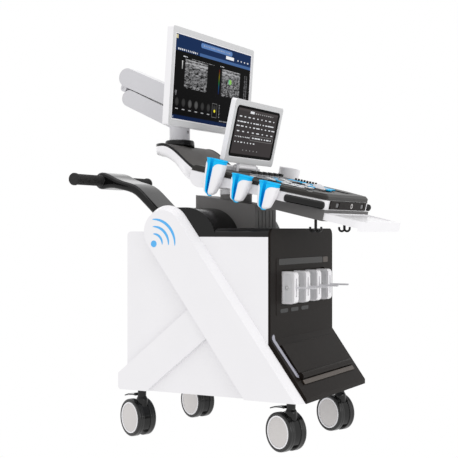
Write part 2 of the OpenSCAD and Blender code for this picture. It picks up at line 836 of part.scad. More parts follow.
// Cable hooks: two upturned loops on a short rod, hanging from the tray's sleeve.
module cable_hooks() {
    ring = 9.5;
    wire = 3.6;
    foot_v = -325;
    color([0.05, 0.05, 0.05]) {
        for (x = [-hook_x, hook_x]) {
            translate([x, hook_y, hook_z - 2]) cylinder(r = 4.5, h = 33, $fn = 32);
            on_console() translate([x - 9, foot_v - 12, tray_w0 - 7]) cube([18, 24, 3]);
            for (s = [-1, 1]) translate([x, hook_y + s * ring, hook_z]) {
                rotate([0, 90, 0]) rotate(-90) rotate_extrude(angle = 180, $fn = 48)
                    translate([ring, 0]) circle(r = wire, $fn = 24);
                translate([0, s * ring, 0]) cylinder(r = wire, h = 5, $fn = 24);
            }
        }
    }
}

// --- neck ------------------------------------------------------------------------------

neck_hw = 160;
neck_steps = 14;
function neck_top(y) = 892 + 93 * ease((y - 40) / 160);
function neck_low(y) = 852 + 106 * ease((y - 34) / 190);
neck_ys = [for (i = [0:neck_steps]) 15 + 275 * i / neck_steps];

// Side outline between two offsets from the neck's top and underside curves.
module neck_side(from_low, from_top) {
    polygon(concat([for (y = neck_ys) [y, neck_low(y) + from_low]],
        [for (i = [neck_steps:-1:0]) [neck_ys[i], neck_top(neck_ys[i]) - from_top]]));
}

// Plan outline of the neck with a rounded rear end, drawn inset by i.
module neck_plan(i) {
    polygon(concat([[neck_hw - i, 0]],
        [for (a = [0:10:180]) [(neck_hw - i) * cos(a), 205 + (82 - i) * sin(a)]],
        [[i - neck_hw, 0]]));
}

module neck_part(from_low, from_top, inset) {
    intersection() {
        along_x(-neck_hw, neck_hw) neck_side(from_low, from_top);
        translate([0, 0, 780]) linear_extrude(260) neck_plan(inset);
    }
}

// Everything in front of the console's rear face.
module console_side() {
    on_console() translate([-300, con_rear - 600, -200]) cube([600, 600, 400]);
}

module neck_shell() {
    color(white) difference() {
        neck_part(0, 9, 0);
        neck_part(5, 0, 6);
        console_side();
    }
}

arm_y = 224;
base_z = 1005;
base_pin_r = 12;

// Black top of the neck, with a raised rim and the arm's round base and pivot pin.
module neck_cover() {
    cover_z = 985;
    color(black) {
        difference() {
            intersection() {
                along_x(-neck_hw, neck_hw) polygon(concat([for (y = neck_ys) [y, neck_top(y) - 9]],
                    [for (i = [neck_steps:-1:0]) [neck_ys[i], neck_top(neck_ys[i])]]));
                translate([0, 0, 780]) linear_extrude(260) neck_plan(0);
            }
            neck_rim_well();
            console_side();
        }
        translate([0, arm_y, cover_z - 5])
            cylinder(r1 = 52, r2 = 49, h = base_z - cover_z + 5, $fn = 96);
        translate([0, arm_y, base_z - 1]) cylinder(r = base_pin_r, h = 26, $fn = 48);
    }
}

// Sunken middle of the neck's cover, inside its rim.
module neck_rim_well() {
    intersection() {
        along_x(-neck_hw, neck_hw) polygon(concat([for (y = neck_ys) [y, neck_top(y) - 4]],
            [for (i = [neck_steps:-1:0]) [neck_ys[i], neck_top(neck_ys[i]) + 5]]));
        translate([0, 0, 780]) linear_extrude(260) neck_plan(7);
    }
}

// --- touch panel -----------------------------------------------------------------------

touch_v = 7;
touch_t = 17;
touch_hw = 177.5;
touch_z0 = 27;
touch_z1 = 236;
tilt_v = 16;
tilt_w = 14;
tilt_pin_r = 4;

// Low riser at the back of the deck with two ears for the touch panel's hinge.
module touch_stand() {
    color([0.8, 0.8, 0.8]) on_console() difference() {
        union() {
            translate([-130, 27, 0]) cube([260, 52, 12]);
            for (x = [-78, 62]) {
                translate([x, 7, 0]) cube([16, 22, 12]);
                along_x(x, x + 16) translate([tilt_v, tilt_w]) circle(r = 8, $fn = 48);
                translate([x, 8, 0]) cube([16, 16, tilt_w]);
            }
        }
        x_rod(tilt_v, tilt_w, tilt_pin_r + run, 100);
    }
}

// Places children on the touch panel's front plane: x across, y up, z towards the operator.
module on_touch_front() {
    translate([0, touch_v, 0]) rotate([90, 0, 0]) children();
}

module touch_housing() {
    mid = (touch_z0 + touch_z1) / 2;
    tall = touch_z1 - touch_z0;
    color(white) on_console() {
        difference() {
            on_touch_front() translate([0, 0, -touch_t]) linear_extrude(touch_t)
                round_rect([0, mid], 2 * touch_hw, tall, 10);
            on_touch_front() translate([0, 0, -2.5]) linear_extrude(5)
                round_rect([0, mid + 2], 2 * touch_hw - 34, tall - 38, 9);
        }
        x_rod(tilt_v, tilt_w, tilt_pin_r, 79);
        difference() {
            along_x(-61.6, 61.6) {
                translate([tilt_v, tilt_w]) circle(r = 8, $fn = 48);
                translate([tilt_v - 6, tilt_w]) square([12, touch_z0 - tilt_w]);
            }
            x_rod(tilt_v, tilt_w, tilt_pin_r, 79);
        }
    }
}

module touch_glass() {
    mid = (touch_z0 + touch_z1) / 2;
    color([0.1, 0.1, 0.11]) on_console() on_touch_front() translate([0, 0, -2.5]) linear_extrude(2.1)
        round_rect([0, mid + 2], 2 * touch_hw - 34, touch_z1 - touch_z0 - 38, 9);
}

// --- controls --------------------------------------------------------------------------

cap_w = -0.8;

// A key cap centred on (x, v), sx by sv, whose top stands h over the pocket's floor level.
module key_cap(x, v, sx, sv, h) {
    translate([x - sx / 2, v - sv / 2, cap_w]) cube([sx, sv, h]);
}

// A curved key about the trackball, from angle a0 over da degrees.
module arc_key(r0, r1, a0, da, h) {
    translate([0, ball_v, cap_w]) rotate([0, 0, a0]) rotate_extrude(angle = da, $fn = 64)
        translate([r0, 0]) square([r1 - r0, h]);
}

module deck_keys() {
    color([0.8, 0.82, 0.86]) on_console() {
        for (row = [0:2], i = [0:11]) key_cap(-186 + i * 27, -112 - row * 22, 21, 15, 5);
        for (i = [0:3], s = [-1, 1]) key_cap(s * 96 - 6 + (i - 1.5) * 24, -186, 20, 13, 5);
        for (a = [20, 65, 110, 150, 205, 250, 292, 332]) arc_key(32, 45, a, a < 180 ? 34 : 30, 6);
        for (s = [-1, 1], i = [0:2]) key_cap(-10 + s * 88, -222 - i * 26, 34, 18, 5);
        for (i = [0:2]) key_cap(-170, -222 - i * 26, 30, 18, 5);
    }
}

module trackball() {
    color([0.75, 0.75, 0.78]) on_console() translate([0, ball_v, ball_w]) sphere(r = ball_r, $fn = 64);
}

module tgc_sliders() {
    color([0.06, 0.06, 0.06]) on_console() for (i = [0:7])
        translate([tgc_x - 3.5, -184 + i * 11, -6.5]) cube([7, 6, 16]);
}

module knob(n) {
    color([0.07, 0.07, 0.07]) on_console() translate([knob_x[n], knob_v, 0]) {
        translate([0, 0, -11]) cylinder(r = 3, h = 14, $fn = 32);
        translate([0, 0, gap]) cylinder(r = 12, h = 4, $fn = 64);
        translate([0, 0, 4]) cylinder(r1 = 10.5, r2 = 9.5, h = 12, $fn = 64);
    }
}
module knob_1() { knob(0); }
module knob_2() { knob(1); }
module knob_3() { knob(2); }

// --- monitor and its arm ---------------------------------------------------------------

column_r = 36;
arm_hw = 32;
low_p = [arm_y, 1071];
low_q = [416, 1161];
low_r = 29;
elbow = [440, 1199];
up_p = [425, 1236];
up_q = [185, 1130];
up_r = 33;
knuckle_hw = 12;
pin_r = 5;
yoke_hw = 15.6;
tilt_p = [134, 1118];

// Column and lower link, with the elbow's knuckle and pin at the rear end.
module lower_arm() {
    color([0.72, 0.72, 0.75]) difference() {
        union() {
            translate([0, arm_y, base_z + gap]) cylinder(r = column_r, h = 60, $fn = 96);
            along_x(-arm_hw, arm_hw) capsule(low_p, low_q, low_r, 96);
            along_x(-knuckle_hw, knuckle_hw) capsule(low_q, elbow, 12);
            x_rod(elbow[0], elbow[1], pin_r, 28);
        }
        translate([0, arm_y, 1000]) cylinder(r = base_pin_r + run, h = 32, $fn = 48);
    }
}

// Upper link: cheeks on both sides of the elbow's knuckle, and a fork for the yoke.
module upper_arm() {
    color([0.80, 0.80, 0.83]) difference() {
        union() {
            along_x(-arm_hw, arm_hw) capsule(up_p, up_q, up_r, 96);
            both_sides() along_x(knuckle_hw + gap, 30) capsule(elbow, up_p, 12);
        }
        x_rod(elbow[0], elbow[1], pin_r + run, 40);
        along_x(-knuckle_hw - gap, knuckle_hw + gap) translate([400, 1150]) square([70, 70]);
        along_x(-yoke_hw - gap, yoke_hw + gap) {
            translate(up_q) circle(r = 20, $fn = 64);
            translate([up_q[0] - 60, up_q[1] - 60]) square([60, 80]);
        }
    }
    color([0.5, 0.5, 0.5]) x_rod(up_q[0], up_q[1], pin_r, 20);
}

// Yoke between the arm's fork and the monitor's tilt hinge.
module monitor_yoke() {
    color([0.6, 0.6, 0.62]) difference() {
        along_x(-yoke_hw, yoke_hw) {
            capsule(up_q, tilt_p, 8);
            translate(up_q) circle(r = 15, $fn = 64);
        }
        x_rod(up_q[0], up_q[1], pin_r + run, 30);
        x_rod(tilt_p[0], tilt_p[1], pin_r + run - 1, 30);
    }
}

mon_y = 87.2;
mon_z = 1191;
bezel = 19.5;

// Monitor frame: x across, y up, z towards the operator, from the middle of its front.
module on_monitor() {
    translate([0, mon_y, mon_z]) rotate([90 + mon_lean, 0, 0]) children();
}

// Monitor's case with its rear bulge and the two ears of the tilt hinge.
module monitor_housing() {
    ear_t = 10;
    color(white) {
        difference() {
            union() {
                on_monitor() translate([0, 0, -mon_t]) linear_extrude(mon_t)
                    round_rect([0, 0], 2 * mon_hw, 2 * mon_hh, 9);
                on_monitor() translate([0, 0, -mon_t - 8]) linear_extrude(9)
                    round_rect([0, -20], 300, 190, 14);
                for (s = [-1, 1]) along_x(s * (yoke_hw + gap + ear_t / 2) - ear_t / 2,
                    s * (yoke_hw + gap + ear_t / 2) + ear_t / 2)
                    capsule(tilt_p, tilt_p - [18, 0], 8);
            }
            on_monitor() translate([0, 0, -3]) linear_extrude(5)
                round_rect([0, 0], 2 * (mon_hw - bezel), 2 * (mon_hh - bezel - 4), 2);
        }
        x_rod(tilt_p[0], tilt_p[1], pin_r - 1, yoke_hw + gap + 5);
    }
}

module monitor_screen() {
    color([0.05, 0.07, 0.12]) on_monitor() translate([0, 0, -3]) linear_extrude(2.5)
        round_rect([0, 0], 2 * (mon_hw - bezel), 2 * (mon_hh - bezel - 4), 2);
}

chassis();
left_side_panel();
right_side_panel();
left_diagonal_band();
right_diagonal_band();
rear_bands();
front_fascia();
top_cover();
rear_panel();
probe_ports();
air_filter();
handle_frame();
handle_grips();
lift_sleeve();
power_supply();
card_cage();
mains_inlet();
filter_door();
port_lever_1();
port_lever_2();
port_lever_3();
port_lever_4();
front_left_caster();
front_right_caster();
rear_left_caster();
rear_right_caster();
front_left_wheels();
front_right_wheels();
rear_left_wheels();
rear_right_wheels();
front_left_brake();
rear_left_brake();
lift_head();
lift_mast();
console_tub();
console_deck();
connector_panel();
side_grips();
probe_holders();
holder_liners();
gel_cup();
cable_hooks();
tray_housing();
neck_shell();
neck_cover();
touch_stand();
deck_keys();
trackball();
tgc_sliders();
knob_1();
knob_2();
knob_3();
keyboard_tray();
touch_housing();
touch_glass();
lower_arm();
upper_arm();
monitor_yoke();
monitor_housing();
monitor_screen();
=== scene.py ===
# %% [markdown]
# # A trolley ultrasound scanner
# The working parts of this machine come from its CAD model, already in place and in metres.
# This lesson adds what a functional model leaves out: soft moulded edges, rounded shells,
# fine grain in every material, keys, displays and light. Each step says what the piece is on
# the real machine, how it could be made, and why it is made this way here.

# %% Load the frame
import json
import math

import bmesh
import bpy
from mathutils import Matrix, Vector


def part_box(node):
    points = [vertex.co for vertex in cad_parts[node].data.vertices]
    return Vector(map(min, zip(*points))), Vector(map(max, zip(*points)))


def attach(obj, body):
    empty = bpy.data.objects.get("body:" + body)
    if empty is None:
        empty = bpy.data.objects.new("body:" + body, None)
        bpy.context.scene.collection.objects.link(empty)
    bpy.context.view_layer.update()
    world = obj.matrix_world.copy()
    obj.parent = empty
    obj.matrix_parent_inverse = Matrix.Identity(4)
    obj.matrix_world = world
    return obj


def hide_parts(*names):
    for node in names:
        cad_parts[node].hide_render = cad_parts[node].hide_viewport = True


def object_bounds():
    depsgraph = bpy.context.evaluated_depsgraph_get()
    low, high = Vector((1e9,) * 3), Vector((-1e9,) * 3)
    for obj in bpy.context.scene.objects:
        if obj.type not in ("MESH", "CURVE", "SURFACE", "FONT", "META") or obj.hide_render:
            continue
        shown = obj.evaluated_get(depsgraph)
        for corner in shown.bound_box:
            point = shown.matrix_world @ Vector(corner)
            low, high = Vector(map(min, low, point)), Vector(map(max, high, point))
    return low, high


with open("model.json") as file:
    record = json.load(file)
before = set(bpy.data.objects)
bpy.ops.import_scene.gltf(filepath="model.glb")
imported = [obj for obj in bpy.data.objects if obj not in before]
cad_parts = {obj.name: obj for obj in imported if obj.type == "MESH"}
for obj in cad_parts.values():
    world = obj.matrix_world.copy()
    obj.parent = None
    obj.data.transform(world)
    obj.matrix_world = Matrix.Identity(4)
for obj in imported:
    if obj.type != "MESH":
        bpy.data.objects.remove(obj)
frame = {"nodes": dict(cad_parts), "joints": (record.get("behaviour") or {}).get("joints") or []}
cad_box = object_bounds()
nodes = frame["nodes"]

# %% [markdown]
# ## Reading places from the frame
# A real console is built around a few datum lines, and everything on the deck is measured from
# them. The deck's tilt is the axis of a knob, so the console's own axes come from that joint:
# x across, v along the deck to the rear, w up out of the deck. Working in these axes keeps the
# numbers for keys and holders as simple as on a drawing.

# %% Datum lines
MM = 0.001


def joint(name):
    """The CAD joint of that name, as the record gives it."""
    return next(j for j in frame["joints"] if j["name"] == name)


def joint_place(name):
    return Vector(joint(name)["pos_m"])


KNOB_V = -75 * MM
deck_up = Vector(joint("knob_1_turn")["axis"]).normalized()
deck_back = Vector((0, deck_up.z, -deck_up.y))
deck_origin = joint_place("knob_1_turn") - deck_back * KNOB_V
deck_origin.x = 0


def axes_at(origin, x_axis, y_axis, z_axis):
    """A matrix whose columns are the three axes, placed at origin."""
    turn = Matrix((x_axis, y_axis, z_axis)).transposed().to_4x4()
    return Matrix.Translation(origin) @ turn


console = axes_at(deck_origin, Vector((1, 0, 0)), deck_back, deck_up)
identity = Matrix.Identity(4)
print("deck tilt in degrees:", round(math.degrees(math.asin(-deck_up.y)), 2))

# %% [markdown]
# ## Camera
# The machine is looked at from its front left, level with the console's underside, with a
# fairly long lens. The camera is placed first, so that each later step can be judged from the
# view that matters most.

# %% Camera
VIEW_TURN = 61.8
camera_data = bpy.data.cameras.new("camera")
camera_data.sensor_width = 36
camera_data.lens = 83.79
camera = bpy.data.objects.new("camera", camera_data)
camera.location = (-3.2141, -1.6955, 0.695)
camera.rotation_euler = (math.radians(90), 0, -math.radians(VIEW_TURN))
bpy.context.scene.collection.objects.link(camera)
bpy.context.scene.camera = camera
print("camera lens:", camera_data.lens)

# %% [markdown]
# ## Shader maths
# Procedural materials are sums and products of masks. Wiring each one by hand hides the idea,
# so a small class wraps a socket: adding, multiplying or comparing two of them adds the Math
# node that does it. Colours and vectors go through Mix and Vector Math instead, because a Math
# node would turn them grey.

# %% The socket class
class Wire:
    """One shader socket, with arithmetic that builds nodes."""

    def __init__(self, socket):
        self.socket = socket

    def maths(self, operation, *terms, settings=None):
        picks = {"operation": operation, **(settings or {})}
        return node(self.socket.id_data, "ShaderNodeMath", picks, dict(enumerate(terms)))

    def __add__(self, other):
        return self.maths("ADD", self, other)

    __radd__ = __add__

    def __sub__(self, other):
        return self.maths("SUBTRACT", self, other)

    def __rsub__(self, other):
        return self.maths("SUBTRACT", other, self)

    def __mul__(self, other):
        return self.maths("MULTIPLY", self, other)

    __rmul__ = __mul__

    def __truediv__(self, other):
        return self.maths("DIVIDE", self, other)

    def __gt__(self, other):
        return self.maths("GREATER_THAN", self, other)

    def __lt__(self, other):
        return self.maths("LESS_THAN", self, other)

    def power(self, exponent):
        return self.maths("POWER", self, exponent)

    def floor(self):
        return self.maths("FLOOR", self)

    def fraction(self):
        return self.maths("FRACT", self)

    def distance(self):
        return self.maths("ABSOLUTE", self)

    def clip(self):
        return self.maths("ADD", self, 0, settings={"use_clamp": True})

    def along(self, direction, origin):
        """How far this point lies along direction, from origin."""
        tree = self.socket.id_data
        move = {"operation": "SUBTRACT"}
        moved = node(tree, "ShaderNodeVectorMath", move, {0: self, 1: tuple(origin)})
        aim = {"operation": "DOT_PRODUCT"}
        return node(tree, "ShaderNodeVectorMath", aim, {0: moved, 1: tuple(direction)}, "Value")


def node(tree, kind, settings=None, inputs=None, output=0):
    """Adds a node: its settings first, then its sockets' values or links."""
    made = tree.nodes.new(kind)
    for key, value in (settings or {}).items():
        if key == "stops":
            ramp = made.color_ramp.elements
            while len(ramp) < len(value):
                ramp.new(1)
            for stop, (place, colour) in zip(ramp, value):
                stop.position = place
                stop.color = (*colour, 1)
        else:
            setattr(made, key, value)
    for key, value in (inputs or {}).items():
        if isinstance(value, Wire):
            tree.links.new(value.socket, made.inputs[key])
        else:
            made.inputs[key].default_value = value
    return Wire(made.outputs[output])


print("wire operators ready")

# %% [markdown]
# ## The finish of a moulded or painted surface
# No moulding is one flat colour. Its gloss varies a little where hands have polished it, the
# colour drifts slightly over a large panel, and a fine grain breaks up the reflections. One
# function makes this for every shell, so that plastics, paint and rubber differ only by their
# numbers: grain size in millimetres, grain depth, roughness and how much it varies.

# %% Material of a shell
MIX_A, MIX_B, MIX_RESULT = 6, 7, 2  # the colour sockets of a Mix node


def colour4(rgb):
    return (*rgb, 1.0)


class Finish:
    """A procedural material, with the parts of its tree that the recipes share."""

    def __init__(self, name):
        self.material = bpy.data.materials.new(name)
        self.material.use_nodes = True
        self.tree = self.material.node_tree
        self.shader = self.tree.nodes["Principled BSDF"]
        self.place = self.node("ShaderNodeTexCoord", output="Object")

    def node(self, kind, settings=None, inputs=None, output=0):
        return node(self.tree, kind, settings, inputs, output)

    def set(self, **values):
        """Sets the shader's own sockets, by names with _ for a space."""
        for key, value in values.items():
            socket = self.shader.inputs[key.replace("_", " ")]
            if isinstance(value, Wire):
                self.tree.links.new(value.socket, socket)
            else:
                socket.default_value = value

    def noise(self, size, detail=3.0, roughness=0.5):
        """Noise whose features are about size metres across."""
        inputs = {"Vector": self.place, "Scale": 1 / size, "Detail": detail, "Roughness": roughness}
        return self.node("ShaderNodeTexNoise", None, inputs)

    def mix(self, mask, first, second):
        """The first colour where mask is 0, and the second where it is 1."""
        inputs = {"Factor": mask}
        for key, value in ((MIX_A, first), (MIX_B, second)):
            inputs[key] = value if isinstance(value, Wire) else colour4(value)
        return self.node("ShaderNodeMix", {"data_type": "RGBA"}, inputs, MIX_RESULT)

    def bump(self, height, strength, depth):
        inputs = {"Height": height, "Strength": strength, "Distance": depth}
        return self.node("ShaderNodeBump", None, inputs)


def shell(name, rgb, rough, grain=0.6, depth=0.02, drift=0.04, coat=0.0, metallic=0.0, shine=0.5):
    """A moulded or painted surface. grain and depth are in millimetres."""
    made = Finish(name)
    broad = made.noise(0.11, 2.0)
    fine = made.noise(grain * MM, 2.0, 0.6)
    worn = made.noise(0.018, 4.0, 0.65)
    deep = [c * (1 - drift) for c in rgb]
    pale = [min(1.0, c * (1 + drift)) for c in rgb]
    made.set(
        Base_Color=made.mix((broad * 1.6 - 0.3).clip(), deep, pale),
        Roughness=(rough + (worn - 0.5) * 0.22 * rough + (fine - 0.5) * 0.08 * rough).clip(),
        Metallic=metallic,
        Specular_IOR_Level=shine,
        Coat_Weight=coat,
        Coat_Roughness=0.08,
        Normal=made.bump(fine * 0.8 + worn * 0.2, 0.5, depth * MM),
    )
    return made.material


white_shell = shell("white_moulding", (0.825, 0.815, 0.835), 0.32, 0.9, 0.010, 0.012, coat=0.2)
grey_white = shell("light_grey_moulding", (0.60, 0.595, 0.62), 0.34, 0.8, 0.012, 0.02, coat=0.15)
bezel_grey = shell("bezel_grey", (0.58, 0.58, 0.585), 0.38, 0.5, 0.012, 0.015)
fascia_black = shell("fascia_black", (0.011, 0.0085, 0.0072), 0.38, 0.45, 0.02, 0.10, shine=0.045)
gloss_black = shell("gloss_black", (0.004, 0.004, 0.004), 0.16, 0.9, 0.006, 0.10, shine=0.3)
deck_black = shell("deck_black", (0.018, 0.016, 0.014), 0.42, 0.35, 0.02, 0.10, shine=0.3)
blue_shell = shell("bright_blue_moulding", (0.001, 0.48, 0.88), 0.36, 0.8, 0.012, 0.03, shine=0.2)
lift_grey = shell("lift_grey_paint", (0.205, 0.198, 0.195), 0.48, 0.5, 0.03, 0.06, shine=0.3)
sleeve_grey = shell("sleeve_grey_paint", (0.106, 0.103, 0.102), 0.48, 0.5, 0.03, 0.06, shine=0.3)
cover_grey = shell("neck_grey", (0.062, 0.057, 0.052), 0.50, 0.4, 0.03, 0.08, shine=0.3)
column_grey = shell("column_grey", (0.33, 0.33, 0.35), 0.36, 0.5, 0.012, 0.03)
steel_paint = shell("plated_sheet", (0.42, 0.43, 0.45), 0.36, 0.5, 0.02, 0.05, metallic=0.7)
mast_metal = shell("anodised_mast", (0.05, 0.05, 0.053), 0.30, 0.4, 0.01, 0.05, metallic=0.8)
filter_foam = shell("filter_foam", (0.045, 0.046, 0.05), 0.85, 1.2, 0.6, 0.25)
caster_black = shell("caster_nylon", (0.006, 0.006, 0.006), 0.16, 0.9, 0.008, 0.10, shine=0.35)
tread_black = shell("caster_tread", (0.008, 0.008, 0.008), 0.20, 0.5, 0.02, 0.12, shine=0.5)
disc_grey = shell("hub_disc", (0.60, 0.575, 0.565), 0.30, 0.8, 0.01, 0.03, coat=0.1)
# painted light: this brown stands for light caught by the door lip's underside and by the bevel in
# the port recess's corner
painted_glint_brown = shell("painted_light_ledge", (0.065, 0.050, 0.040), 0.40, 0.5, 0.02, 0.08, shine=0.3)
print("shell finishes:", len(bpy.data.materials))

# %% [markdown]
# ## Rubber with a worn, dusty skin
# A push handle's grips are rubber: matt, with a powdery bloom in the grooves and a slight
# polish on the ribs. The bloom is a noise mask mixed into the colour, stronger than on a
# moulding, and the roughness follows the same mask.

# %% Material of the grips
def grip_rubber():
    made = Finish("grip_rubber")
    bloom = (made.noise(0.006, 5.0, 0.7) * 2.2 - 0.7).clip()
    pores = made.noise(0.0009, 2.0)
    made.set(
        Base_Color=made.mix(bloom, (0.012, 0.012, 0.012), (0.034, 0.033, 0.032)),
        Roughness=(0.55 + bloom * 0.25).clip(),
        Specular_IOR_Level=0.25,
        Normal=made.bump(pores, 0.6, 0.00008),
    )
    return made.material


rubber = grip_rubber()
print("rubber finish ready")

# %% [markdown]
# ## Dressing the CAD nodes
# Machined CAD edges are perfectly sharp, and sharp edges catch no light. On the real shells
# every edge has a small radius. The CAD meshes themselves may not change, so each gets a Weld
# and a Bevel modifier: the weld joins the faces, and the bevel rounds what is sharper than a
# set angle.

# %% Weld, bevel and paint
SHARP = math.radians(32)


def soften(thing, radius, steps=3):
    """Smooth shading, with edges rounded by radius in metres."""
    mesh = thing.data
    if "custom_normal" in mesh.attributes:
        mesh.attributes.remove(mesh.attributes["custom_normal"])
    mesh.shade_smooth()
    weld = thing.modifiers.new("weld", "WELD")
    weld.merge_threshold = 0.00002
    if radius:
        bevel = thing.modifiers.new("edge", "BEVEL")
        bevel.width = radius
        bevel.segments = steps
        bevel.limit_method = "ANGLE"
        bevel.angle_limit = SHARP
        bevel.harden_normals = True
    normals = thing.modifiers.new("normals", "WEIGHTED_NORMAL")
    normals.keep_sharp = True
    normals.weight = 80


def dress(finish, radius_mm, *names, steps=3):
    """Gives CAD nodes a material and rounded edges."""
    for name in names:
        thing = nodes[name]
        thing.data.materials.clear()
        thing.data.materials.append(finish)
        soften(thing, radius_mm * MM, steps)


SIDES = ("left", "right")
CORNERS = [f"{end}_{side}" for end in ("front", "rear") for side in SIDES]
dress(white_shell, 2.0, *[f"{s}_side_panel" for s in SIDES], "rear_bands", "console_tub")
dress(white_shell, 1.6, *[f"{s}_diagonal_band" for s in SIDES])
dress(white_shell, 3.0, "keyboard_tray", "gel_cup")
dress(white_shell, 1.2, "probe_ports", "monitor_housing", "touch_housing")
dress(fascia_black, 2.5, "front_fascia", "filter_door")
dress(gloss_black, 3.0, "top_cover")
dress(fascia_black, 1.0, "rear_panel", "mains_inlet", "connector_panel")
dress(deck_black, 1.2, "console_deck", "tgc_sliders")
dress(gloss_black, 0.6, "cable_hooks")
dress(lift_grey, 1.5, "lift_head")
dress(sleeve_grey, 1.5, "tray_housing")
dress(mast_metal, 1.0, "lift_mast")
dress(steel_paint, 0.8, "chassis", "lift_sleeve", "power_supply", "card_cage")
dress(filter_foam, 0.5, "air_filter")
dress(caster_black, 1.2, *[f"{c}_caster" for c in CORNERS])
dress(caster_black, 0.8, "front_left_brake", "rear_left_brake")
dress(grey_white, 0.8, *[f"port_lever_{n}" for n in (1, 2, 3, 4)], "touch_stand", "trackball")
dress(grey_white, 5.0, "lower_arm", "upper_arm", steps=5)
dress(column_grey, 1.2, "monitor_yoke")
print("CAD nodes dressed:", sum(1 for n in nodes.values() if n.modifiers))

# %% [markdown]
# ## Builders for new pieces
# Most moulded parts are one of three things: an outline pushed through a thickness, a profile
# turned about an axis, or a skin stretched over a row of rings. These three builders return a
# bmesh, and piece() turns it into an object that rides on its CAD body.

# %% Outline helpers
def arc(cx, cy, radius, start, end, steps=8):
    """Points on a circle, from one angle to another in degrees."""
    turns = [math.radians(start + (end - start) * i / steps) for i in range(steps + 1)]
    return [(cx + radius * math.cos(t), cy + radius * math.sin(t)) for t in turns]


def round_box(width, height, radius, steps=6, cx=0.0, cy=0.0):
    """A rectangle's outline with round corners, counter-clockwise."""
    x, y = width / 2 - radius, height / 2 - radius
    spots = [(x, y, 0), (-x, y, 90), (-x, -y, 180), (x, -y, 270)]
    return [p for sx, sy, a in spots for p in arc(cx + sx, cy + sy, radius, a, a + 90, steps)]


def ease(t):
    """A smooth step from 0 to 1."""
    t = min(max(t, 0.0), 1.0)
    return t * t * (3 - 2 * t)


def mix(a, b, t):
    return a + (b - a) * t


print("a round box has", len(round_box(0.1, 0.05, 0.01)), "points")

# %% Solids
def loft(rings, closed=True, caps=True):
    """Skins a row of rings of equal length. Not closed means each ring is an open line."""
    bm = bmesh.new()
    rows = [[bm.verts.new(p) for p in ring] for ring in rings]
    count = len(rows[0])
    for low, high in zip(rows, rows[1:]):
        for i in range(count if closed else count - 1):
            j = (i + 1) % count
            bm.faces.new((low[i], low[j], high[j], high[i]))
    if caps:
        bm.faces.new(rows[0][::-1])
        bm.faces.new(rows[-1])
    bmesh.ops.remove_doubles(bm, verts=bm.verts, dist=1e-6)
    bmesh.ops.recalc_face_normals(bm, faces=bm.faces)
    return bm


def prism(outline, low, high):
    """An (x, y) outline pushed from z = low to z = high."""
    return loft([[(x, y, z) for x, y in outline] for z in (low, high)])


def lathe(profile, steps=64):
    """A profile of (radius, height) points turned about z."""
    turns = [2 * math.pi * i / steps for i in range(steps)]
    rings = [[(r * math.cos(t), r * math.sin(t), z) for t in turns] for r, z in profile]
    return loft(rings)


def tube(path, radius, steps=12):
    """A round bar along a list of points."""
    points = [Vector(p) for p in path]
    rings = []
    side = None
    for i, p in enumerate(points):
        ahead = (points[min(i + 1, len(points) - 1)] - points[max(i - 1, 0)]).normalized()
        if side is None:
            side = ahead.orthogonal().normalized()
        side = (side - ahead * side.dot(ahead)).normalized()
        up = ahead.cross(side)
        turns = [2 * math.pi * k / steps for k in range(steps)]
        rings.append([p + radius * (side * math.cos(t) + up * math.sin(t)) for t in turns])
    return loft(rings)


def gather(parts):
    """Joins several bmeshes into one."""
    whole = bmesh.new()
    for bm in parts:
        carrier = bpy.data.meshes.new("carrier")
        bm.to_mesh(carrier)
        bm.free()
        whole.from_mesh(carrier)
        bpy.data.meshes.remove(carrier)
    return whole


def piece(name, bm, body, finish, slot, place=identity, stands_for=(), radius_mm=0.0):
    """Makes an object from a bmesh, in place, that rides on a CAD body."""
    bm.transform(place)
    bmesh.ops.recalc_face_normals(bm, faces=bm.faces)
    mesh = bpy.data.meshes.new(name)
    bm.to_mesh(mesh)
    bm.free()
    mesh.materials.append(finish)
    made = bpy.data.objects.new(name, mesh)
    bpy.context.scene.collection.objects.link(made)
    soften(made, radius_mm * MM)
    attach(made, body)
    if stands_for:
        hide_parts(*stands_for)
    return made


def mirrored(bm):
    """A bmesh and its mirror image about x = 0, as one."""
    other = bm.copy()
    bmesh.ops.scale(other, vec=(-1, 1, 1), verts=other.verts)
    bmesh.ops.reverse_faces(other, faces=other.faces)
    return gather([bm, other])


print("builders ready")

# %% [markdown]
# ## Casters
# Each caster is a pair of wheels on one axle, with a nylon hood between them. The tread is a
# turned profile with fine grooves, and the outer face holds a pale disc pressed into a white
# rim. A lathe is right for both, because every one of these surfaces is round. The wheel's
# axis comes from its joint, so the swivel angle of each caster is already in it.

# %% Wheels, rims and discs
HOOD_HALF = 11.4 * MM
TREAD = [(0, 0), (56, 0), (61.3, 0.3), (62.5, 1.6), (62.5, 9.4), (61.6, 9.8), (61.6, 10.8),
         (62.5, 11.2), (62.5, 17.0), (61.9, 19.9), (60.2, 22.0), (57.5, 23.0), (53.2, 23.0),
         (52.4, 22.2), (52.2, 19.0), (0, 19.0)]
RIM = [(46.4, 19.0), (46.4, 22.0), (47.2, 23.0), (50.8, 23.2), (51.8, 22.4), (52.0, 19.0)]
DISC = [(0, 19.0), (46.2, 19.0), (46.2, 21.6), (44.8, 22.1), (30.0, 22.5), (0, 22.7)]


def in_mm(profile):
    return [(r * MM, z * MM) for r, z in profile]


def ring_solid(profile, steps=96):
    """A profile that never reaches the axis, turned and closed on itself."""
    turns = [2 * math.pi * i / steps for i in range(steps)]
    rings = [[(r * math.cos(t), r * math.sin(t), z) for r, z in profile] for t in turns]
    return loft(rings + rings[:1], caps=False)


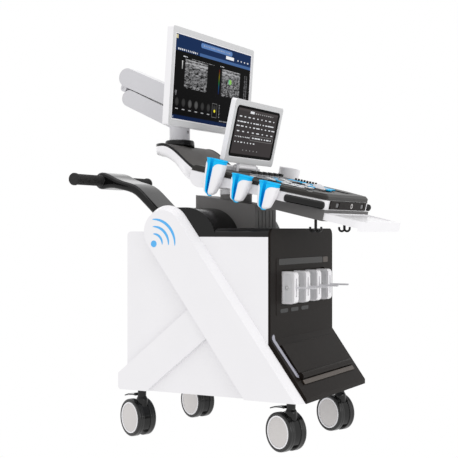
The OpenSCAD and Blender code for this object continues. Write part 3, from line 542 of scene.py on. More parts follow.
for corner in CORNERS:
    roll = joint(f"{corner}_wheels_roll")
    axle = Vector(roll["axis"]).normalized()
    centre = Vector(roll["pos_m"])
    for hand, way in (("inner", 1), ("outer", -1)):
        out = axle * way
        flat = Vector((0, 0, 1)).cross(out)
        place = axes_at(centre + out * HOOD_HALF, flat, out.cross(flat), out)
        body = f"{corner}_wheelset"
        first = hand == "inner"
        name = f"{corner}_{hand}"
        node_names = (f"{corner}_wheels",) if first else ()
        tread = lathe(in_mm(TREAD), 96)
        piece(f"{name}_tread", tread, body, tread_black, "caster_tread", place, node_names)
        rim = ring_solid(in_mm(RIM))
        piece(f"{name}_rim", rim, body, white_shell, "white_shell", place)
        piece(f"{name}_disc", lathe(in_mm(DISC), 96), body, disc_grey, "light_grey_shell", place)
print("caster wheels:", 2 * len(CORNERS))

# %% [markdown]
# ## Push handle
# The handle is one casting: a broad flat arm that rises from the hump, bends level and swells
# into a block around a cross bar. It could be a bent box, but the real one changes thickness
# and width along its length, so it is a loft: at each station a rounded rectangle of its own
# size, square to the path.

# %% Handle arm and bar
HANDLE = [(246, 722, 28, 72), (262, 738, 28, 72), (290, 765, 28, 72), (318, 791, 28.5, 72),
          (342, 813, 29, 72), (358, 826, 30, 72), (374, 835.5, 31, 72), (394, 842.5, 31, 72.5),
          (424, 850, 32, 73), (450, 857, 36, 74), (468, 862, 43, 75), (484, 865.5, 52, 76),
          (498, 867, 59, 76), (510, 867.5, 61, 76), (520, 867.5, 57, 75.5), (528, 867.5, 47, 74.5),
          (532.5, 867.5, 34, 73), (534, 867.5, 20, 71)]
BAR = Vector((0, 507.5, 867)) * MM
GRIP_START, GRIP_END = 76, 238


def handle_rings():
    rings = []
    for i, (y, z, thick, half) in enumerate(HANDLE):
        before, after = HANDLE[max(i - 1, 0)], HANDLE[min(i + 1, len(HANDLE) - 1)]
        ahead = Vector((0, after[0] - before[0], after[1] - before[1])).normalized()
        up = Vector((1, 0, 0)).cross(ahead)
        corner = min(14.0, thick * 0.40)
        outline = round_box(2 * half, thick, corner, 5)
        rings.append([(Vector((x, y, z)) + up * h) * MM for x, h in outline])
    return rings


piece("push_handle", loft(handle_rings()), "cart", gloss_black, "black_shell",
      stands_for=("handle_frame",))
across = axes_at(BAR, Vector((0, 1, 0)), Vector((0, 0, 1)), Vector((1, 0, 0)))
collar = [(15, 74), (20.5, 75), (20.8, 79), (18.6, 82), (12, 82.4)]
bar_skin = gather([lathe(in_mm([(0, -70), (12, -70), (12, 226), (0, 226)]), 48),
                   lathe(in_mm([(0, 73.5), *collar, (0, 82.4)]), 48)])
bar_skin.transform(across)
piece("push_bar", mirrored(bar_skin), "cart", gloss_black, "black_shell")
print("handle rings:", len(HANDLE))

# %% [markdown]
# ## Grips
# The grips are ribbed rubber sleeves with a larger cap at the outer end. Bump alone would
# leave the outline smooth, and the ribs show most clearly there, so each rib is turned in the
# profile: a loop adds four points for every one.

# %% Ribbed grips
RIBS, RIB_PITCH = 25, 5.4


def grip_profile():
    profile = [(0, GRIP_START + 6), (17.6, GRIP_START + 6), (18.4, GRIP_START + 8)]
    for i in range(RIBS):
        start = GRIP_START + 11 + i * RIB_PITCH
        profile += [(17.4, start), (18.9, start + 0.9), (18.9, start + 3.1), (17.4, start + 4.0)]
    cap = GRIP_END - 12
    return profile + [(18.0, cap - 2.5), (20.9, cap - 0.5), (21.5, cap + 1.2),
                      (21.5, GRIP_END - 3.4), (20.4, GRIP_END - 1.0), (18.4, GRIP_END),
                      (0, GRIP_END)]


for side, turn in (("right", 0), ("left", 180)):
    aim = across @ Matrix.Rotation(math.radians(turn), 4, "X")
    replaced = ("handle_grips",) if side == "right" else ()
    piece(f"{side}_grip", lathe(in_mm(grip_profile()), 72), "cart", rubber, "grip_rubber", aim,
          replaced)
print("grip profile points:", len(grip_profile()))

# %% [markdown]
# ## Neck
# The neck is a swan's curve that carries the arm: white sides, and a dark top with a raised
# black lip. Its plan is a straight strip with a rounded rear end, and its top and underside
# follow two smooth steps. It is skinned station by station: each station is a ring of points
# that goes up one side and down the other, so that the fillet along the bottom edge and the
# lip along the top follow the curve exactly.

# %% Neck curves
NECK_HALF = 160
NECK_TURN_Y, NECK_TURN_R = 193, 82
NECK_FLARE, NECK_STEPS = 70, 24
DECK_REAR = 84
# Each edge: its height at the console, its rise, where the rise starts and over what length.
TOP_Z, TOP_RISE, TOP_START, TOP_RUN = 892, 93, 40, 160
LOW_Z, LOW_RISE, LOW_START, LOW_RUN = 852, 94, 34, 190
FLARE_START, FLARE_RUN = 45, 120


def neck_top(y):
    return TOP_Z + TOP_RISE * ease((y - TOP_START) / TOP_RUN)


def neck_low(y):
    return LOW_Z + LOW_RISE * ease((y - LOW_START) / LOW_RUN)


def neck_spread(y, z):
    """How far the foot of the side flares out, so that it runs into the console's side."""
    rise = min(1, max(0, (z - neck_low(y)) / (neck_top(y) - neck_low(y))))
    return NECK_FLARE * (1 - rise) ** 2 * (1 - ease((y - FLARE_START) / FLARE_RUN))


def neck_front(z):
    """Y of the console's rear face at height z."""
    return deck_origin.y / MM + (DECK_REAR + (z - deck_origin.z / MM) * deck_up.y) / deck_back.y


def neck_point(station, inset, height):
    """A point of the right-hand side: station 0 to 1 is the straight part, 1 to 2 the end."""
    if station <= 1:
        y = 20.0
        for _ in range(4):
            y = neck_front(height(y)) + 0.5
        y = mix(y, NECK_TURN_Y, station)
        return Vector((NECK_HALF - inset + neck_spread(y, height(y)), y, height(y)))
    turn = math.radians(90 * (station - 1))
    y = NECK_TURN_Y + (NECK_TURN_R - inset) * math.sin(turn)
    return Vector(((NECK_HALF - inset) * math.cos(turn), y, height(y)))


def neck_skin(levels):
    """Skins rings that run up the right side and back down the left one."""
    rings = []
    for i in range(2 * NECK_STEPS + 1):
        station = i / NECK_STEPS
        right = [neck_point(station, inset, height) * MM for inset, height in levels]
        left = [Vector((-p.x, p.y, p.z)) for p in reversed(right)]
        rings.append(right + left)
    return loft(rings)


print("neck rises to", round(neck_top(290)), "mm")

# %% Neck shell and cover
FILLET = 16
side_levels = [(FILLET * (1 - math.sin(t)), lambda y, t=t: neck_low(y) + FILLET * (1 - math.cos(t)))
               for t in (math.radians(15 * i) for i in range(7))]
side_levels += [(0, lambda y, f=f: mix(neck_low(y) + FILLET, neck_top(y) - 11, f))
                for f in (0.12, 0.25, 0.4, 0.6, 0.8)]
side_levels += [(0, lambda y: neck_top(y) - 11), (0.9, lambda y: neck_top(y) - 9.6)]
piece("neck_side_shell", neck_skin(side_levels), "console", white_shell, "white_shell",
      stands_for=("neck_shell",))
lip_levels = [(1.4, lambda y: neck_top(y) - 9.5), (0.5, lambda y: neck_top(y) - 8.8),
              (0, lambda y: neck_top(y) - 2.2), (0.8, lambda y: neck_top(y) - 0.6),
              (2.4, lambda y: neck_top(y)), (5.6, lambda y: neck_top(y) - 0.4),
              (7.0, lambda y: neck_top(y) - 3.2)]
piece("neck_lip", neck_skin(lip_levels), "console", gloss_black, "black_shell",
      stands_for=("neck_cover",))
pad_levels = [(7.2, lambda y: neck_top(y) - 5), (7.2, lambda y: neck_top(y) - 3.1),
              (9.0, lambda y: neck_top(y) - 2.2), (40, lambda y: neck_top(y) - 1.4)]
piece("neck_pad", neck_skin(pad_levels), "console", cover_grey, "dark_grey_paint")
print("neck stations:", 2 * NECK_STEPS + 1)

# %% [markdown]
# ## Arm base and column
# The monitor's arm stands on a glossy turned foot with a rounded shoulder. Above it the column
# has a small plugged screw hole. Both are turned; the pivot they share is the arm's joint.

# %% Turned foot and plug
arm_pivot = joint_place("arm_swivel")
foot_top = arm_pivot.z / MM
foot = [(0, foot_top - 26), (52, foot_top - 26), (52, foot_top - 14), (51, foot_top - 6),
        (49.5, foot_top - 2.5), (47.2, foot_top - 0.7), (44, foot_top), (0, foot_top)]
stand = Matrix.Translation((arm_pivot.x, arm_pivot.y, 0))
piece("arm_foot", lathe(in_mm(foot), 96), "console", gloss_black, "black_shell", stand)
COLUMN_R = 36
PLUG_TURN, PLUG_Z = -6, 1033
plug_turn = Matrix.Rotation(math.radians(PLUG_TURN), 4, "Z")
plug_place = stand @ plug_turn @ Matrix.Translation(Vector((0, -COLUMN_R, PLUG_Z)) * MM)
plug_place = plug_place @ Matrix.Rotation(math.radians(90), 4, "X")
plug = lathe(in_mm([(0, -2), (5, -2), (5, 0.15), (4, 0.35), (0, -0.8)]), 32)
piece("column_plug", plug, "arm_lower", fascia_black, "black_shell", plug_place)
print("arm foot stands at", [round(c, 3) for c in arm_pivot])

# %% [markdown]
# ## Probe holders
# A probe holder is an oval cup, open at the top, with a slot in its outer side for the cable.
# It has two shells: a white one outside, and a bright blue liner that stands a little proud of
# it, so that a blue rim shows. Each shell is one open skin that runs from one edge of the slot
# round to the other; a Solidify modifier gives it its wall, which keeps the slot's edges true.

# %% Holder shapes
HOLDERS = [(-17.5, 31, 112), (-116, 1, 82), (-214, -1, 82)]
HOLDER_X = -265
INNER_X = 24.4
SKIN_ROWS, SKIN_STEPS = 26, 72


def holder_outline(half_x, half_y, power, turn):
    """A rounded oval: higher power makes it squarer."""
    c, s = math.cos(turn), math.sin(turn)
    return (half_x * math.copysign(abs(c) ** (2 / power), c),
            half_y * math.copysign(abs(s) ** (2 / power), s))


def holder_skin(depth, inset, slot, rise, round_over):
    """An open skin round the cup. slot gives the two angles between which it is cut away."""
    rings = []
    first, last = slot[1], slot[0] + 360
    for row in range(SKIN_ROWS + 1):
        ring = []
        for i in range(SKIN_STEPS + 1):
            turn = math.radians(mix(first, last, i / SKIN_STEPS))
            edge = min(i, SKIN_STEPS - i) / SKIN_STEPS * (last - first) * 0.45
            short = max(0.0, round_over - edge)
            drop = round_over - math.sqrt(max(0.0, round_over ** 2 - short ** 2))
            fall = mix(rise - drop, -depth, row / SKIN_ROWS)
            deep = max(0.0, -fall / depth)
            taper = deep ** 1.9
            close = 1 - 0.55 * max(0.0, (deep - 0.90) / 0.10) ** 2
            half_x = (mix(25, 18, taper) - inset) * close
            half_y = (mix(33, 17, taper) - inset) * close
            x, y = holder_outline(half_x, half_y, 3.0, turn)
            ring.append(Vector((HOLDER_X + 3 * taper + x, 6 * taper + y, fall)))
        rings.append([Vector((min(p.x, HOLDER_X + INNER_X), p.y, p.z)) * MM for p in ring])
    return rings


def thicken(thing, wall_mm):
    """Gives an open skin its wall, before the edges are rounded."""
    solid = thing.modifiers.new("wall", "SOLIDIFY")
    solid.thickness = wall_mm * MM
    solid.offset = -1
    solid.use_even_offset = True
    thing.modifiers.move(len(thing.modifiers) - 1, 0)


def holder_floor(depth):
    """The closed bottom of a cup, a shallow dish."""
    rings = []
    for close, drop in ((0.46, 0.4), (0.38, 2.2), (0.26, 3.4), (0.10, 4.0)):
        turns = [2 * math.pi * k / 48 for k in range(48)]
        outline = [holder_outline(18 * close, 17 * close, 3.0, t) for t in turns]
        rings.append([Vector((HOLDER_X + 3 + x, 6 + y, -depth - drop)) * MM for x, y in outline])
    top = [Vector((p.x, p.y, p.z + 3 * MM)) for p in rings[0]]
    return loft([top] + rings)


print("holders:", len(HOLDERS))

# %% White bodies and blue liners
for number, (v, w, depth) in enumerate(HOLDERS, 1):
    spot = console @ Matrix.Translation(Vector((0, v, w)) * MM)
    body_skin = loft(holder_skin(depth, 0, (150, 181), -10.0, 14.0), closed=False, caps=False)
    stand_in = ("probe_holders", "holder_liners") if number == 1 else ()
    shell_piece = piece(f"holder_{number}_shell", body_skin, "console", white_shell, "white_shell",
                        spot, stand_in, 0.8)
    thicken(shell_piece, 3.6)
    liner = loft(holder_skin(depth, 1.6, (166, 180), 2.6, 2.0), closed=False, caps=False)
    liner_piece = piece(f"holder_{number}_liner", liner, "console", blue_shell, "blue_plastic",
                        spot, (), 0.7)
    thicken(liner_piece, 3.2)
    piece(f"holder_{number}_floor", holder_floor(depth), "console", blue_shell, "blue_plastic",
          spot)
    print("holder", number, "is", depth, "mm deep")

# %% [markdown]
# ## Blue rims and holder arms
# The liner's rim is a rolled edge that overhangs the white wall. A bar along the top of each
# cup makes that roll. Behind each cup, a short white arm joins it to the console's side.

# %% Rolled rims and arms
for number, (v, w, depth) in enumerate(HOLDERS, 1):
    spot = console @ Matrix.Translation(Vector((0, v, w)) * MM)
    rim_path = []
    for i in range(65):
        turn = math.radians(mix(180, 166 + 360, i / 64))
        x, y = holder_outline(23.6, 31.6, 3.0, turn)
        rim_path.append(Vector((min(HOLDER_X + x, HOLDER_X + INNER_X - 1.6), y, 1.2)) * MM)
    piece(f"holder_{number}_rim", tube(rim_path, 2.4 * MM, 14), "console", blue_shell,
          "blue_plastic", spot)
    arm = prism(round_box(10, 40, 3, 4, HOLDER_X + 24.0, 0), -0.030, -0.006)
    bmesh.ops.scale(arm, vec=(MM, MM, 1), verts=arm.verts)
    piece(f"holder_{number}_arm", arm, "console", white_shell, "white_shell", spot, (), 1.2)
print("rims:", len(HOLDERS))

# %% [markdown]
# ## Side grips
# The console is pushed about by two glossy bars, one across each front corner. Their ends are
# rounded where they enter the wall, so each is a turned capsule.

# %% Capsule grips
GRIP_P, GRIP_Q, GRIP_W = Vector((-236, -264, 0)), Vector((-192, -370, 0)), -36
GRIP_BAR_R, GRIP_PROUD = 12, 4


def corner_grip():
    length = (GRIP_Q - GRIP_P).length
    ends = [(GRIP_BAR_R * math.sin(math.radians(a)), -GRIP_BAR_R * 0.6 * math.cos(math.radians(a)))
            for a in range(0, 91, 15)]
    profile = ends + [(r, length - z) for r, z in reversed(ends)]
    bm = lathe(in_mm(profile), 64)
    ahead = (GRIP_Q - GRIP_P).normalized()
    out = ahead.cross(Vector((0, 0, 1)))
    start = (GRIP_P + out * GRIP_PROUD + Vector((0, 0, GRIP_W))) * MM
    bm.transform(axes_at(start, Vector((0, 0, 1)), out, ahead))
    return bm


grip_gloss = shell("grip_gloss", (0.004, 0.004, 0.004), 0.10, 0.9, 0.003, 0.10, shine=0.3)
piece("corner_grips", mirrored(corner_grip()), "console", grip_gloss, "black_shell", console,
      ("side_grips",))
print("corner grips: 2")

# %% [markdown]
# ## Keys
# The deck carries rows of small keys, a ring of curved keys round the trackball and two
# columns beside it. Every key is a low block with a round-cornered outline and a softened top.
# Loops place them on the same grid as the CAD keys, and each colour is one piece.

# %% Key caps
KEY_W, KEY_HIGH, KEY_CORNER = -0.8, 5.0, 2.2
CURVED_HIGH = 6.0
BALL_V = -262


def key_cap(x, v, size_x, size_v):
    height, corner = KEY_HIGH, KEY_CORNER
    outline = round_box(size_x, size_v, corner, 4, x, v)
    inner = round_box(size_x - 2.4, size_v - 2.4, corner - 0.6, 4, x, v)
    rings = [[(a, b, KEY_W) for a, b in outline],
             [(a, b, KEY_W + height - 0.9) for a, b in outline],
             [(a * 0.35 + c * 0.65, b * 0.35 + d * 0.65, KEY_W + height - 0.15)
              for (a, b), (c, d) in zip(outline, inner)],
             [(a, b, KEY_W + height) for a, b in inner]]
    dish = round_box(size_x - 7, size_v - 7, corner - 0.6, 4, x, v)
    rings.append([(a, b, KEY_W + height - 0.35) for a, b in dish])
    return loft([[Vector(p) * MM for p in ring] for ring in rings])


def curved_key(inner, outer, start, span):
    """A key that follows a ring about the trackball."""
    def ring(z, shrink):
        turn = math.degrees(shrink / outer)
        far = arc(0, BALL_V, outer - shrink, start + turn, start + span - turn, 10)
        near = arc(0, BALL_V, inner + shrink, start + span - turn, start + turn, 10)
        return [Vector((x, y, z)) * MM for x, y in far + near]
    top = KEY_W + CURVED_HIGH
    return loft([ring(KEY_W, 0), ring(top - 1.4, 0), ring(top - 0.4, 0.5), ring(top, 1.6)])


white_keys = shell("white_keys", (0.70, 0.71, 0.73), 0.36, 0.4, 0.01, 0.03)
grey_keys = shell("grey_keys", (0.20, 0.205, 0.22), 0.40, 0.4, 0.01, 0.05)
grey, white, blue = [], [], []
for row in range(3):
    for i in range(12):
        accent = i > 9 or (row, i) in ((0, 6), (2, 3))
        group = blue if accent else white if (row + i) % 4 == 0 else grey
        group.append(key_cap(-186 + i * 27, -112 - row * 22, 21, 15))
for side in (-1, 1):
    for i in range(4):
        group = blue if i == 1 + side else white
        group.append(key_cap(side * 96 - 6 + (i - 1.5) * 24, -186, 20, 13))
    for i in range(3):
        group = blue if side > 0 and i else white
        group.append(key_cap(-10 + side * 88, -222 - i * 26, 34, 18))
for i in range(3):
    white.append(key_cap(-170, -222 - i * 26, 30, 18))
for n, turn in enumerate((20, 65, 110, 150, 205, 250, 292, 332)):
    group = blue if n in (0, 3, 5, 6) else white
    group.append(curved_key(32, 45, turn, 34 if turn < 180 else 30))
for name, parts, finish, slot in (("grey_key_caps", grey, grey_keys, "black_shell"),
                                  ("white_key_caps", white, white_keys, "light_grey_shell"),
                                  ("blue_key_caps", blue, blue_shell, "blue_plastic")):
    count = len(parts)
    stands = ("deck_keys",) if name == "grey_key_caps" else ()
    piece(name, gather(parts), "keys", finish, slot, console, stands)
    print(name, count)

# %% [markdown]
# ## Knobs
# The turning knobs are turned on a lathe too, with a skirt, a knurled side and a pale pointer.
# The knurl is real: every third column of the side is pushed in a little, which no bump map
# could show on the outline.

# %% Knurled knobs
KNOB_X = (-110, -70, -30)
KNOB_PROFILE = [(0, -3), (3, -3), (3, 0.4), (12, 0.4), (12.2, 1.4), (11.6, 3.6), (10.4, 4.4),
                (10.2, 14.2), (9.6, 15.4), (8.2, 16.0), (6.5, 15.5), (0, 15.3)]
KNURL_LOW, KNURL_HIGH, KNURL_DEEP, KNURL_COLUMNS = 4, 15, 0.55, 72


def knob_mesh():
    rings = []
    for r, z in KNOB_PROFILE:
        ring = []
        for i in range(KNURL_COLUMNS):
            turn = 2 * math.pi * i / KNURL_COLUMNS
            cut = KNURL_DEEP if KNURL_LOW < z < KNURL_HIGH and i % 3 == 0 else 0.0
            ring.append(Vector(((r - cut) * math.cos(turn), (r - cut) * math.sin(turn), z)) * MM)
        rings.append(ring)
    return loft(rings)


def pointer_mesh():
    return prism([(x * MM, y * MM) for x, y in round_box(1.2, 5.5, 0.5, 3, 0, 6.4)],
                 14.9 * MM, 16.35 * MM)


def skirt_mesh():
    return ring_solid(in_mm([(10.6, 0.4), (13.0, 0.4), (13.2, 4.6), (12.2, 5.8), (10.6, 6.0)]), 48)


for n, x in enumerate(KNOB_X, 1):
    spot = console @ Matrix.Translation(Vector((x * MM, KNOB_V, 0)))
    piece(f"knurled_knob_{n}", knob_mesh(), f"dial_{n}", gloss_black, "black_shell", spot,
          (f"knob_{n}",))
    piece(f"knob_skirt_{n}", skirt_mesh(), f"dial_{n}", column_grey, "light_grey_shell", spot)
    piece(f"knob_pointer_{n}", pointer_mesh(), f"dial_{n}", white_keys, "white_shell", spot)
FIXED_X = (10, 50, 90)
for n, x in enumerate(FIXED_X, 4):
    spot = console @ Matrix.Translation(Vector((x * MM, KNOB_V, 0)))
    piece(f"encoder_cap_{n}", knob_mesh(), "console", gloss_black, "black_shell", spot)
    piece(f"encoder_skirt_{n}", skirt_mesh(), "console", column_grey, "light_grey_shell", spot)
    piece(f"encoder_mark_{n}", pointer_mesh(), "console", white_keys, "white_shell", spot)
print("knobs:", len(KNOB_X), "turning and", len(FIXED_X), "fixed")

# %% [markdown]
# ## Trackball ring and deck trim
# A bezel ring sits round the ball, and a thin pale line runs round the deck where the black
# deck meets the white tub. The trim follows the console's plan, which is drawn with arcs.

# %% Bezel and trim line
CONSOLE_HALF, CONSOLE_FRONT, FRONT_HALF, CORNER_V = 240, -375, 186, -258


def console_plan(inset):
    """The console's outline from rear left, round the front, to rear right."""
    line = [(-CONSOLE_HALF + inset, DECK_REAR - inset)]
    line += arc(-CONSOLE_HALF + 40, CORNER_V + 6, 40 - inset, 180, 206, 5)
    line += arc(-FRONT_HALF + 22, CONSOLE_FRONT + 30, 30 - inset, 206, 270, 8)
    line += arc(FRONT_HALF - 22, CONSOLE_FRONT + 30, 30 - inset, 270, 334, 8)
    line += arc(CONSOLE_HALF - 40, CORNER_V + 6, 40 - inset, 334, 360, 5)
    return line + [(CONSOLE_HALF - inset, DECK_REAR - inset)]


def plan_strip(inset, low, high):
    line = console_plan(inset)
    return prism([(x * MM, y * MM) for x, y in line], low * MM, high * MM)


piece("deck_trim", plan_strip(-0.5, -19.6, -18.2), "console", bezel_grey, "light_grey_shell",
      console)
bezel = [(25.6, -1.0), (25.8, 1.6), (27.2, 2.2), (29.4, 1.6), (30.2, 0.1), (30.2, -1.0)]
piece("ball_bezel", ring_solid(in_mm(bezel), 96), "console", gloss_black, "black_shell",
      console @ Matrix.Translation((0, BALL_V * MM, 0)))
print("deck outline points:", len(console_plan(0)))

# %% [markdown]
# ## Front fascia details
# The tall black fascia holds a glossy label strip above the probe ports, with a brown tab at its
# right end that is a painted reflection from the bevel of the recess's corner, three small
# indicator lenses below them, and a pale strip along the edge of the slope that is a painted
# highlight, light caught along the fascia's side edge. Each is a thin plate let into the surface,
# so each is an outline with round ends, pushed up by a fraction of a millimetre.

# %% Strip, lenses, painted reflection tab and painted highlight strip
FASCIA_Y = -250 * MM
KINK_Z = 350 * MM
TOE_Z = 178 * MM
toe = Vector((0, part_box("front_fascia")[0].y, TOE_Z))
slope = (toe - Vector((0, FASCIA_Y, KINK_Z))).normalized()
slope_out = Vector((0, slope.z, -slope.y))
face = axes_at(Vector((0, FASCIA_Y, 0)), Vector((1, 0, 0)), Vector((0, 0, 1)), Vector((0, -1, 0)))
ramp = axes_at(Vector((0, FASCIA_Y, KINK_Z)), Vector((1, 0, 0)), -slope, slope_out)


def plate(width, height, corner, thick, cx=0.0, cy=0.0):
    """A thin plate with round corners and a softened rim, sizes in millimetres."""
    outline = round_box(width, height, corner, 6, cx, cy)
    inner = round_box(width - 0.8, height - 0.8, corner - 0.4, 6, cx, cy)
    rings = [[Vector((x, y, z)) * MM for x, y in line]
             for line, z in ((outline, -0.6), (outline, thick - 0.3), (inner, thick))]
    return loft(rings)


strip_gloss = shell("strip_gloss", (0.010, 0.0095, 0.009), 0.14, 0.9, 0.004, 0.2, shine=0.2)
lens_grey = shell("lens_grey", (0.012, 0.012, 0.013), 0.10, 0.9, 0.003, 0.1, shine=0.2)
# painted highlight: a pale lilac grey for light caught along the fascia's side edge at the slope
painted_highlight_grey = shell("painted_edge_highlight", (0.30, 0.30, 0.36), 0.22, 0.6, 0.008, 0.04, coat=0.3)
STRIP_Z, LENS_Z = 591, 436
STRIP_X0, STRIP_X1 = -190, 204
BEZEL = (0, 513, 412, 180)
WINDOW = (0, 509, 344, 112)


def window_plate(outer, window, thick, deep):
    """A thin plate with a window, both given as (x, y, width, height), in millimetres."""
    rings = []
    edges = ((outer, 8, (-0.5, thick)), (window, 5, (thick, -deep)))
    for (cx, cy, width, height), corner, levels in edges:
        for z in levels:
            line = round_box(width, height, corner, 6, cx, cy)
            rings.append([Vector((x, y, z)) * MM for x, y in line])
    return loft(rings + rings[:1], caps=False)


piece("port_bezel", window_plate(BEZEL, WINDOW, 0.9, 7), "cart", fascia_black, "black_shell", face,
      (), 0.3)
deep_face = face @ Matrix.Translation((0, 0, -6.6 * MM))
piece("port_gasket", plate(346, 160, 4, 0.8, cy=513), "cart", fascia_black, "black_shell",
      deep_face)
proud = face @ Matrix.Translation((0, 0, 0.9 * MM))
strip_end = STRIP_X1 - 46
strip = plate(strip_end - STRIP_X0, 20, 6, 0.6, cx=(STRIP_X0 + strip_end) / 2, cy=STRIP_Z)
piece("port_label_strip", strip, "cart", strip_gloss, "black_shell", proud)
# the tab's brown is a painted reflection from the bevel in the port recess's top right corner
tab = plate(40, 19, 4, 0.9, cx=STRIP_X1 - 22, cy=STRIP_Z)
piece("port_strip_painted_reflection", tab, "cart", painted_glint_brown, "black_shell", proud)
lenses = gather([plate(58, 13, 6.2, 0.6, cx=x, cy=LENS_Z) for x in (-150, -70, 10)])
piece("indicator_lenses", lenses, "cart", lens_grey, "black_shell", proud)


def highlight_strip():
    """A round-ended strip that starts on the upright face and bends onto the slope."""
    top, down, half = 16, 140, 9.5
    rings = []
    stations = sorted({*[top + down - half * (1 - math.cos(a / 10)) for a in range(0, 16, 3)],
                       *[half * (1 - math.cos(a / 10)) for a in range(0, 16, 3)],
                       *range(12, top + down - 8, 8)})
    for s in stations:
        near = min(s, top + down - s, half)
        width = math.sqrt(max(0.4, half ** 2 - (half - near) ** 2))
        centre = mix(-227, -215, s / (top + down))
        if s < top:
            base, out = Vector((centre, FASCIA_Y / MM, KINK_Z / MM + top - s)), Vector((0, -1, 0))
        else:
            base = Vector((centre, FASCIA_Y / MM, KINK_Z / MM)) + slope * (s - top)
            out = slope_out
        shape = ((-width, -0.8), (width, -0.8), (width, 0.9), (width * 0.6, 1.5),
                 (-width * 0.6, 1.5), (-width, 0.9))
        rings.append([(base + Vector((x, 0, 0)) + out * n) * MM for x, n in shape])
    return loft(rings)


# a raised strip painted pale as a highlight along the slope's edge
piece("slope_painted_highlight", highlight_strip(), "cart", painted_highlight_grey, "light_grey_shell")
SLOPE_LENGTH = (toe - Vector((0, FASCIA_Y, KINK_Z))).length / MM
print("slope is", round(SLOPE_LENGTH), "mm long")

# %% [markdown]
# ## Ledge under the door
# Below the door over the air filter, the slope carries a ledge that the door's lip rests on.
# Its brown is a painted highlight for the lip's underside catching the light. It belongs to
# the fascia, so it rides on the cart and stays when the door opens. It is a plate with round
# corners, laid on the slope.

# %% Door ledge
DOOR_HALF, DOOR_END = 206.5, 149
ledge = plate(2 * DOOR_HALF, 15, 3.5, 4.0, cy=-DOOR_END - 10)
# the ledge's brown is a painted highlight: light caught by the underside of the door's lip
piece("door_ledge", ledge, "cart", painted_glint_brown, "black_shell", ramp)
print("ledge under the lip of the door")

# %% [markdown]
# ## Probe port faces
# Each connector block carries a grey plate on both sides, a painted shade that darkens the
# block's white side faces, and a small round boss where its lever turns. Thin plates carry the
# painted shade; the bosses are turned.

# %% Painted side shade and bosses
PORT_HALF = 16
# painted shade: a grey for the blocks' side faces, which look darker than their white fronts only
# because less light falls on them
painted_side_shade = shell("painted_side_shade", (0.76, 0.76, 0.78), 0.42, 0.5, 0.02, 0.03)
shade_plates, bosses = [], []
lever_axis_y = joint_place("lever_1_turn").y / MM
lever_axis_z = joint_place("lever_1_turn").z / MM
for n in (1, 2, 3, 4):
    centre_x = joint_place(f"lever_{n}_turn").x / MM
    for side in (-1, 1):
        wall = Vector((centre_x + side * (PORT_HALF - 2), 0, 0)) * MM
        out = Vector((side, 0, 0))
        turned = axes_at(wall, Vector((0, -side, 0)), Vector((0, 0, 1)), out)
        flat = plate(27, 86, 7, 0.7, cx=side * 263.5, cy=lever_axis_z)
        flat.transform(turned)
        shade_plates.append(flat)
        boss = lathe(in_mm([(0, 0.5), (7.2, 0.5), (7.2, 1.7), (6.4, 2.3), (3.4, 2.3), (3.0, 1.6),
                            (0, 1.6)]), 32)
        pivot = Vector((-side * lever_axis_y, lever_axis_z, 0)) * MM
        boss.transform(turned @ Matrix.Translation(pivot))
        bosses.append(boss)
piece("port_side_shade", gather(shade_plates), "cart", painted_side_shade, "light_grey_shell")
piece("port_bosses", gather(bosses), "cart", bezel_grey, "light_grey_shell")
print("port blocks: 4")

# %% [markdown]
# ## Side marks
# Both band heads carry a printed sign in light blue. Here it is a generic one: a small dot and
# three arcs spreading from it, for sound waves. The arcs are real strips, a fifth of a
# millimetre proud, with round ends, and wider towards the middle as brush strokes are.

# %% Sound-wave marks
band_low, band_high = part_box("left_diagonal_band")
HEAD = Vector((0, 120, 692))
MARK_X, MARK_Y, DOT_R, MARK_STEPS = -20, -19, 6.5, 24
MARK_SCALE, MARK_THICK = 1.7, 0.2 * MM
MARK_SHIFT = Vector((-6, -13, 0)) * MM
mark_blue = shell("mark_blue", (0.085, 0.42, 0.83), 0.36, 0.8, 0.006, 0.04)


def wave_mark():
    dot = arc(MARK_X, MARK_Y, DOT_R, 0, 345, 23)
    parts = [prism([(x * MM, y * MM) for x, y in dot], 0, MARK_THICK)]
    for radius, width in ((19, 4.6), (33, 5.2), (47, 5.6)):
        outer, inner = [], []
        for i in range(MARK_STEPS + 1):
            swell = math.sin(math.pi * i / MARK_STEPS) ** 0.6 * 0.85 + 0.15
            turn = math.radians(mix(-4, 94, i / MARK_STEPS))
            half = width * swell / 2
            for line, r in ((outer, radius + half), (inner, radius - half)):
                x, y = MARK_X + r * math.cos(turn), MARK_Y + r * math.sin(turn)
                line.append((x * MM, y * MM))
        parts.append(prism(outer + inner[::-1], 0, MARK_THICK))
    mark = gather(parts)
    bmesh.ops.scale(mark, vec=(MARK_SCALE, MARK_SCALE, 1), verts=mark.verts)
    return mark


for side, way in (("left", -1), ("right", 1)):
    wall = Vector((way * max(abs(band_low.x), abs(band_high.x)), HEAD.y * MM, HEAD.z * MM))
    spot = axes_at(wall, Vector((0, way, 0)), Vector((0, 0, 1)), Vector((way, 0, 0)))
    spot = spot @ Matrix.Translation(MARK_SHIFT)
    piece(f"{side}_wave_mark", wave_mark(), "cart", mark_blue, "blue_plastic", spot)
print("marks on both bands")

# %% [markdown]
# ## The picture on the monitor
# A display is best made in the shader: its picture is flat, sharp and bright. Coordinates on
# the screen are distances along its own two axes, scaled to run from 0 to 1, and each part of
# the picture is a mask. Boxes come from comparisons, speckle from noise, and the marks that
# stand for words are short dashes with no letters in them.

# %% Screen axes
screen_low, screen_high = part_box("monitor_screen")
MONITOR_LEAN = math.radians(4)
screen_up = Vector((0, math.sin(-MONITOR_LEAN), math.cos(MONITOR_LEAN)))
screen_out = Vector((0, -math.cos(MONITOR_LEAN), -math.sin(MONITOR_LEAN)))
screen_half_w = (screen_high.x - screen_low.x) / 2
screen_centre = (screen_low + screen_high) / 2
screen_half_h = (screen_high.z - screen_low.z) / 2 / math.cos(MONITOR_LEAN)
print("screen is", round(2 * screen_half_w, 3), "by", round(2 * screen_half_h, 3), "m")


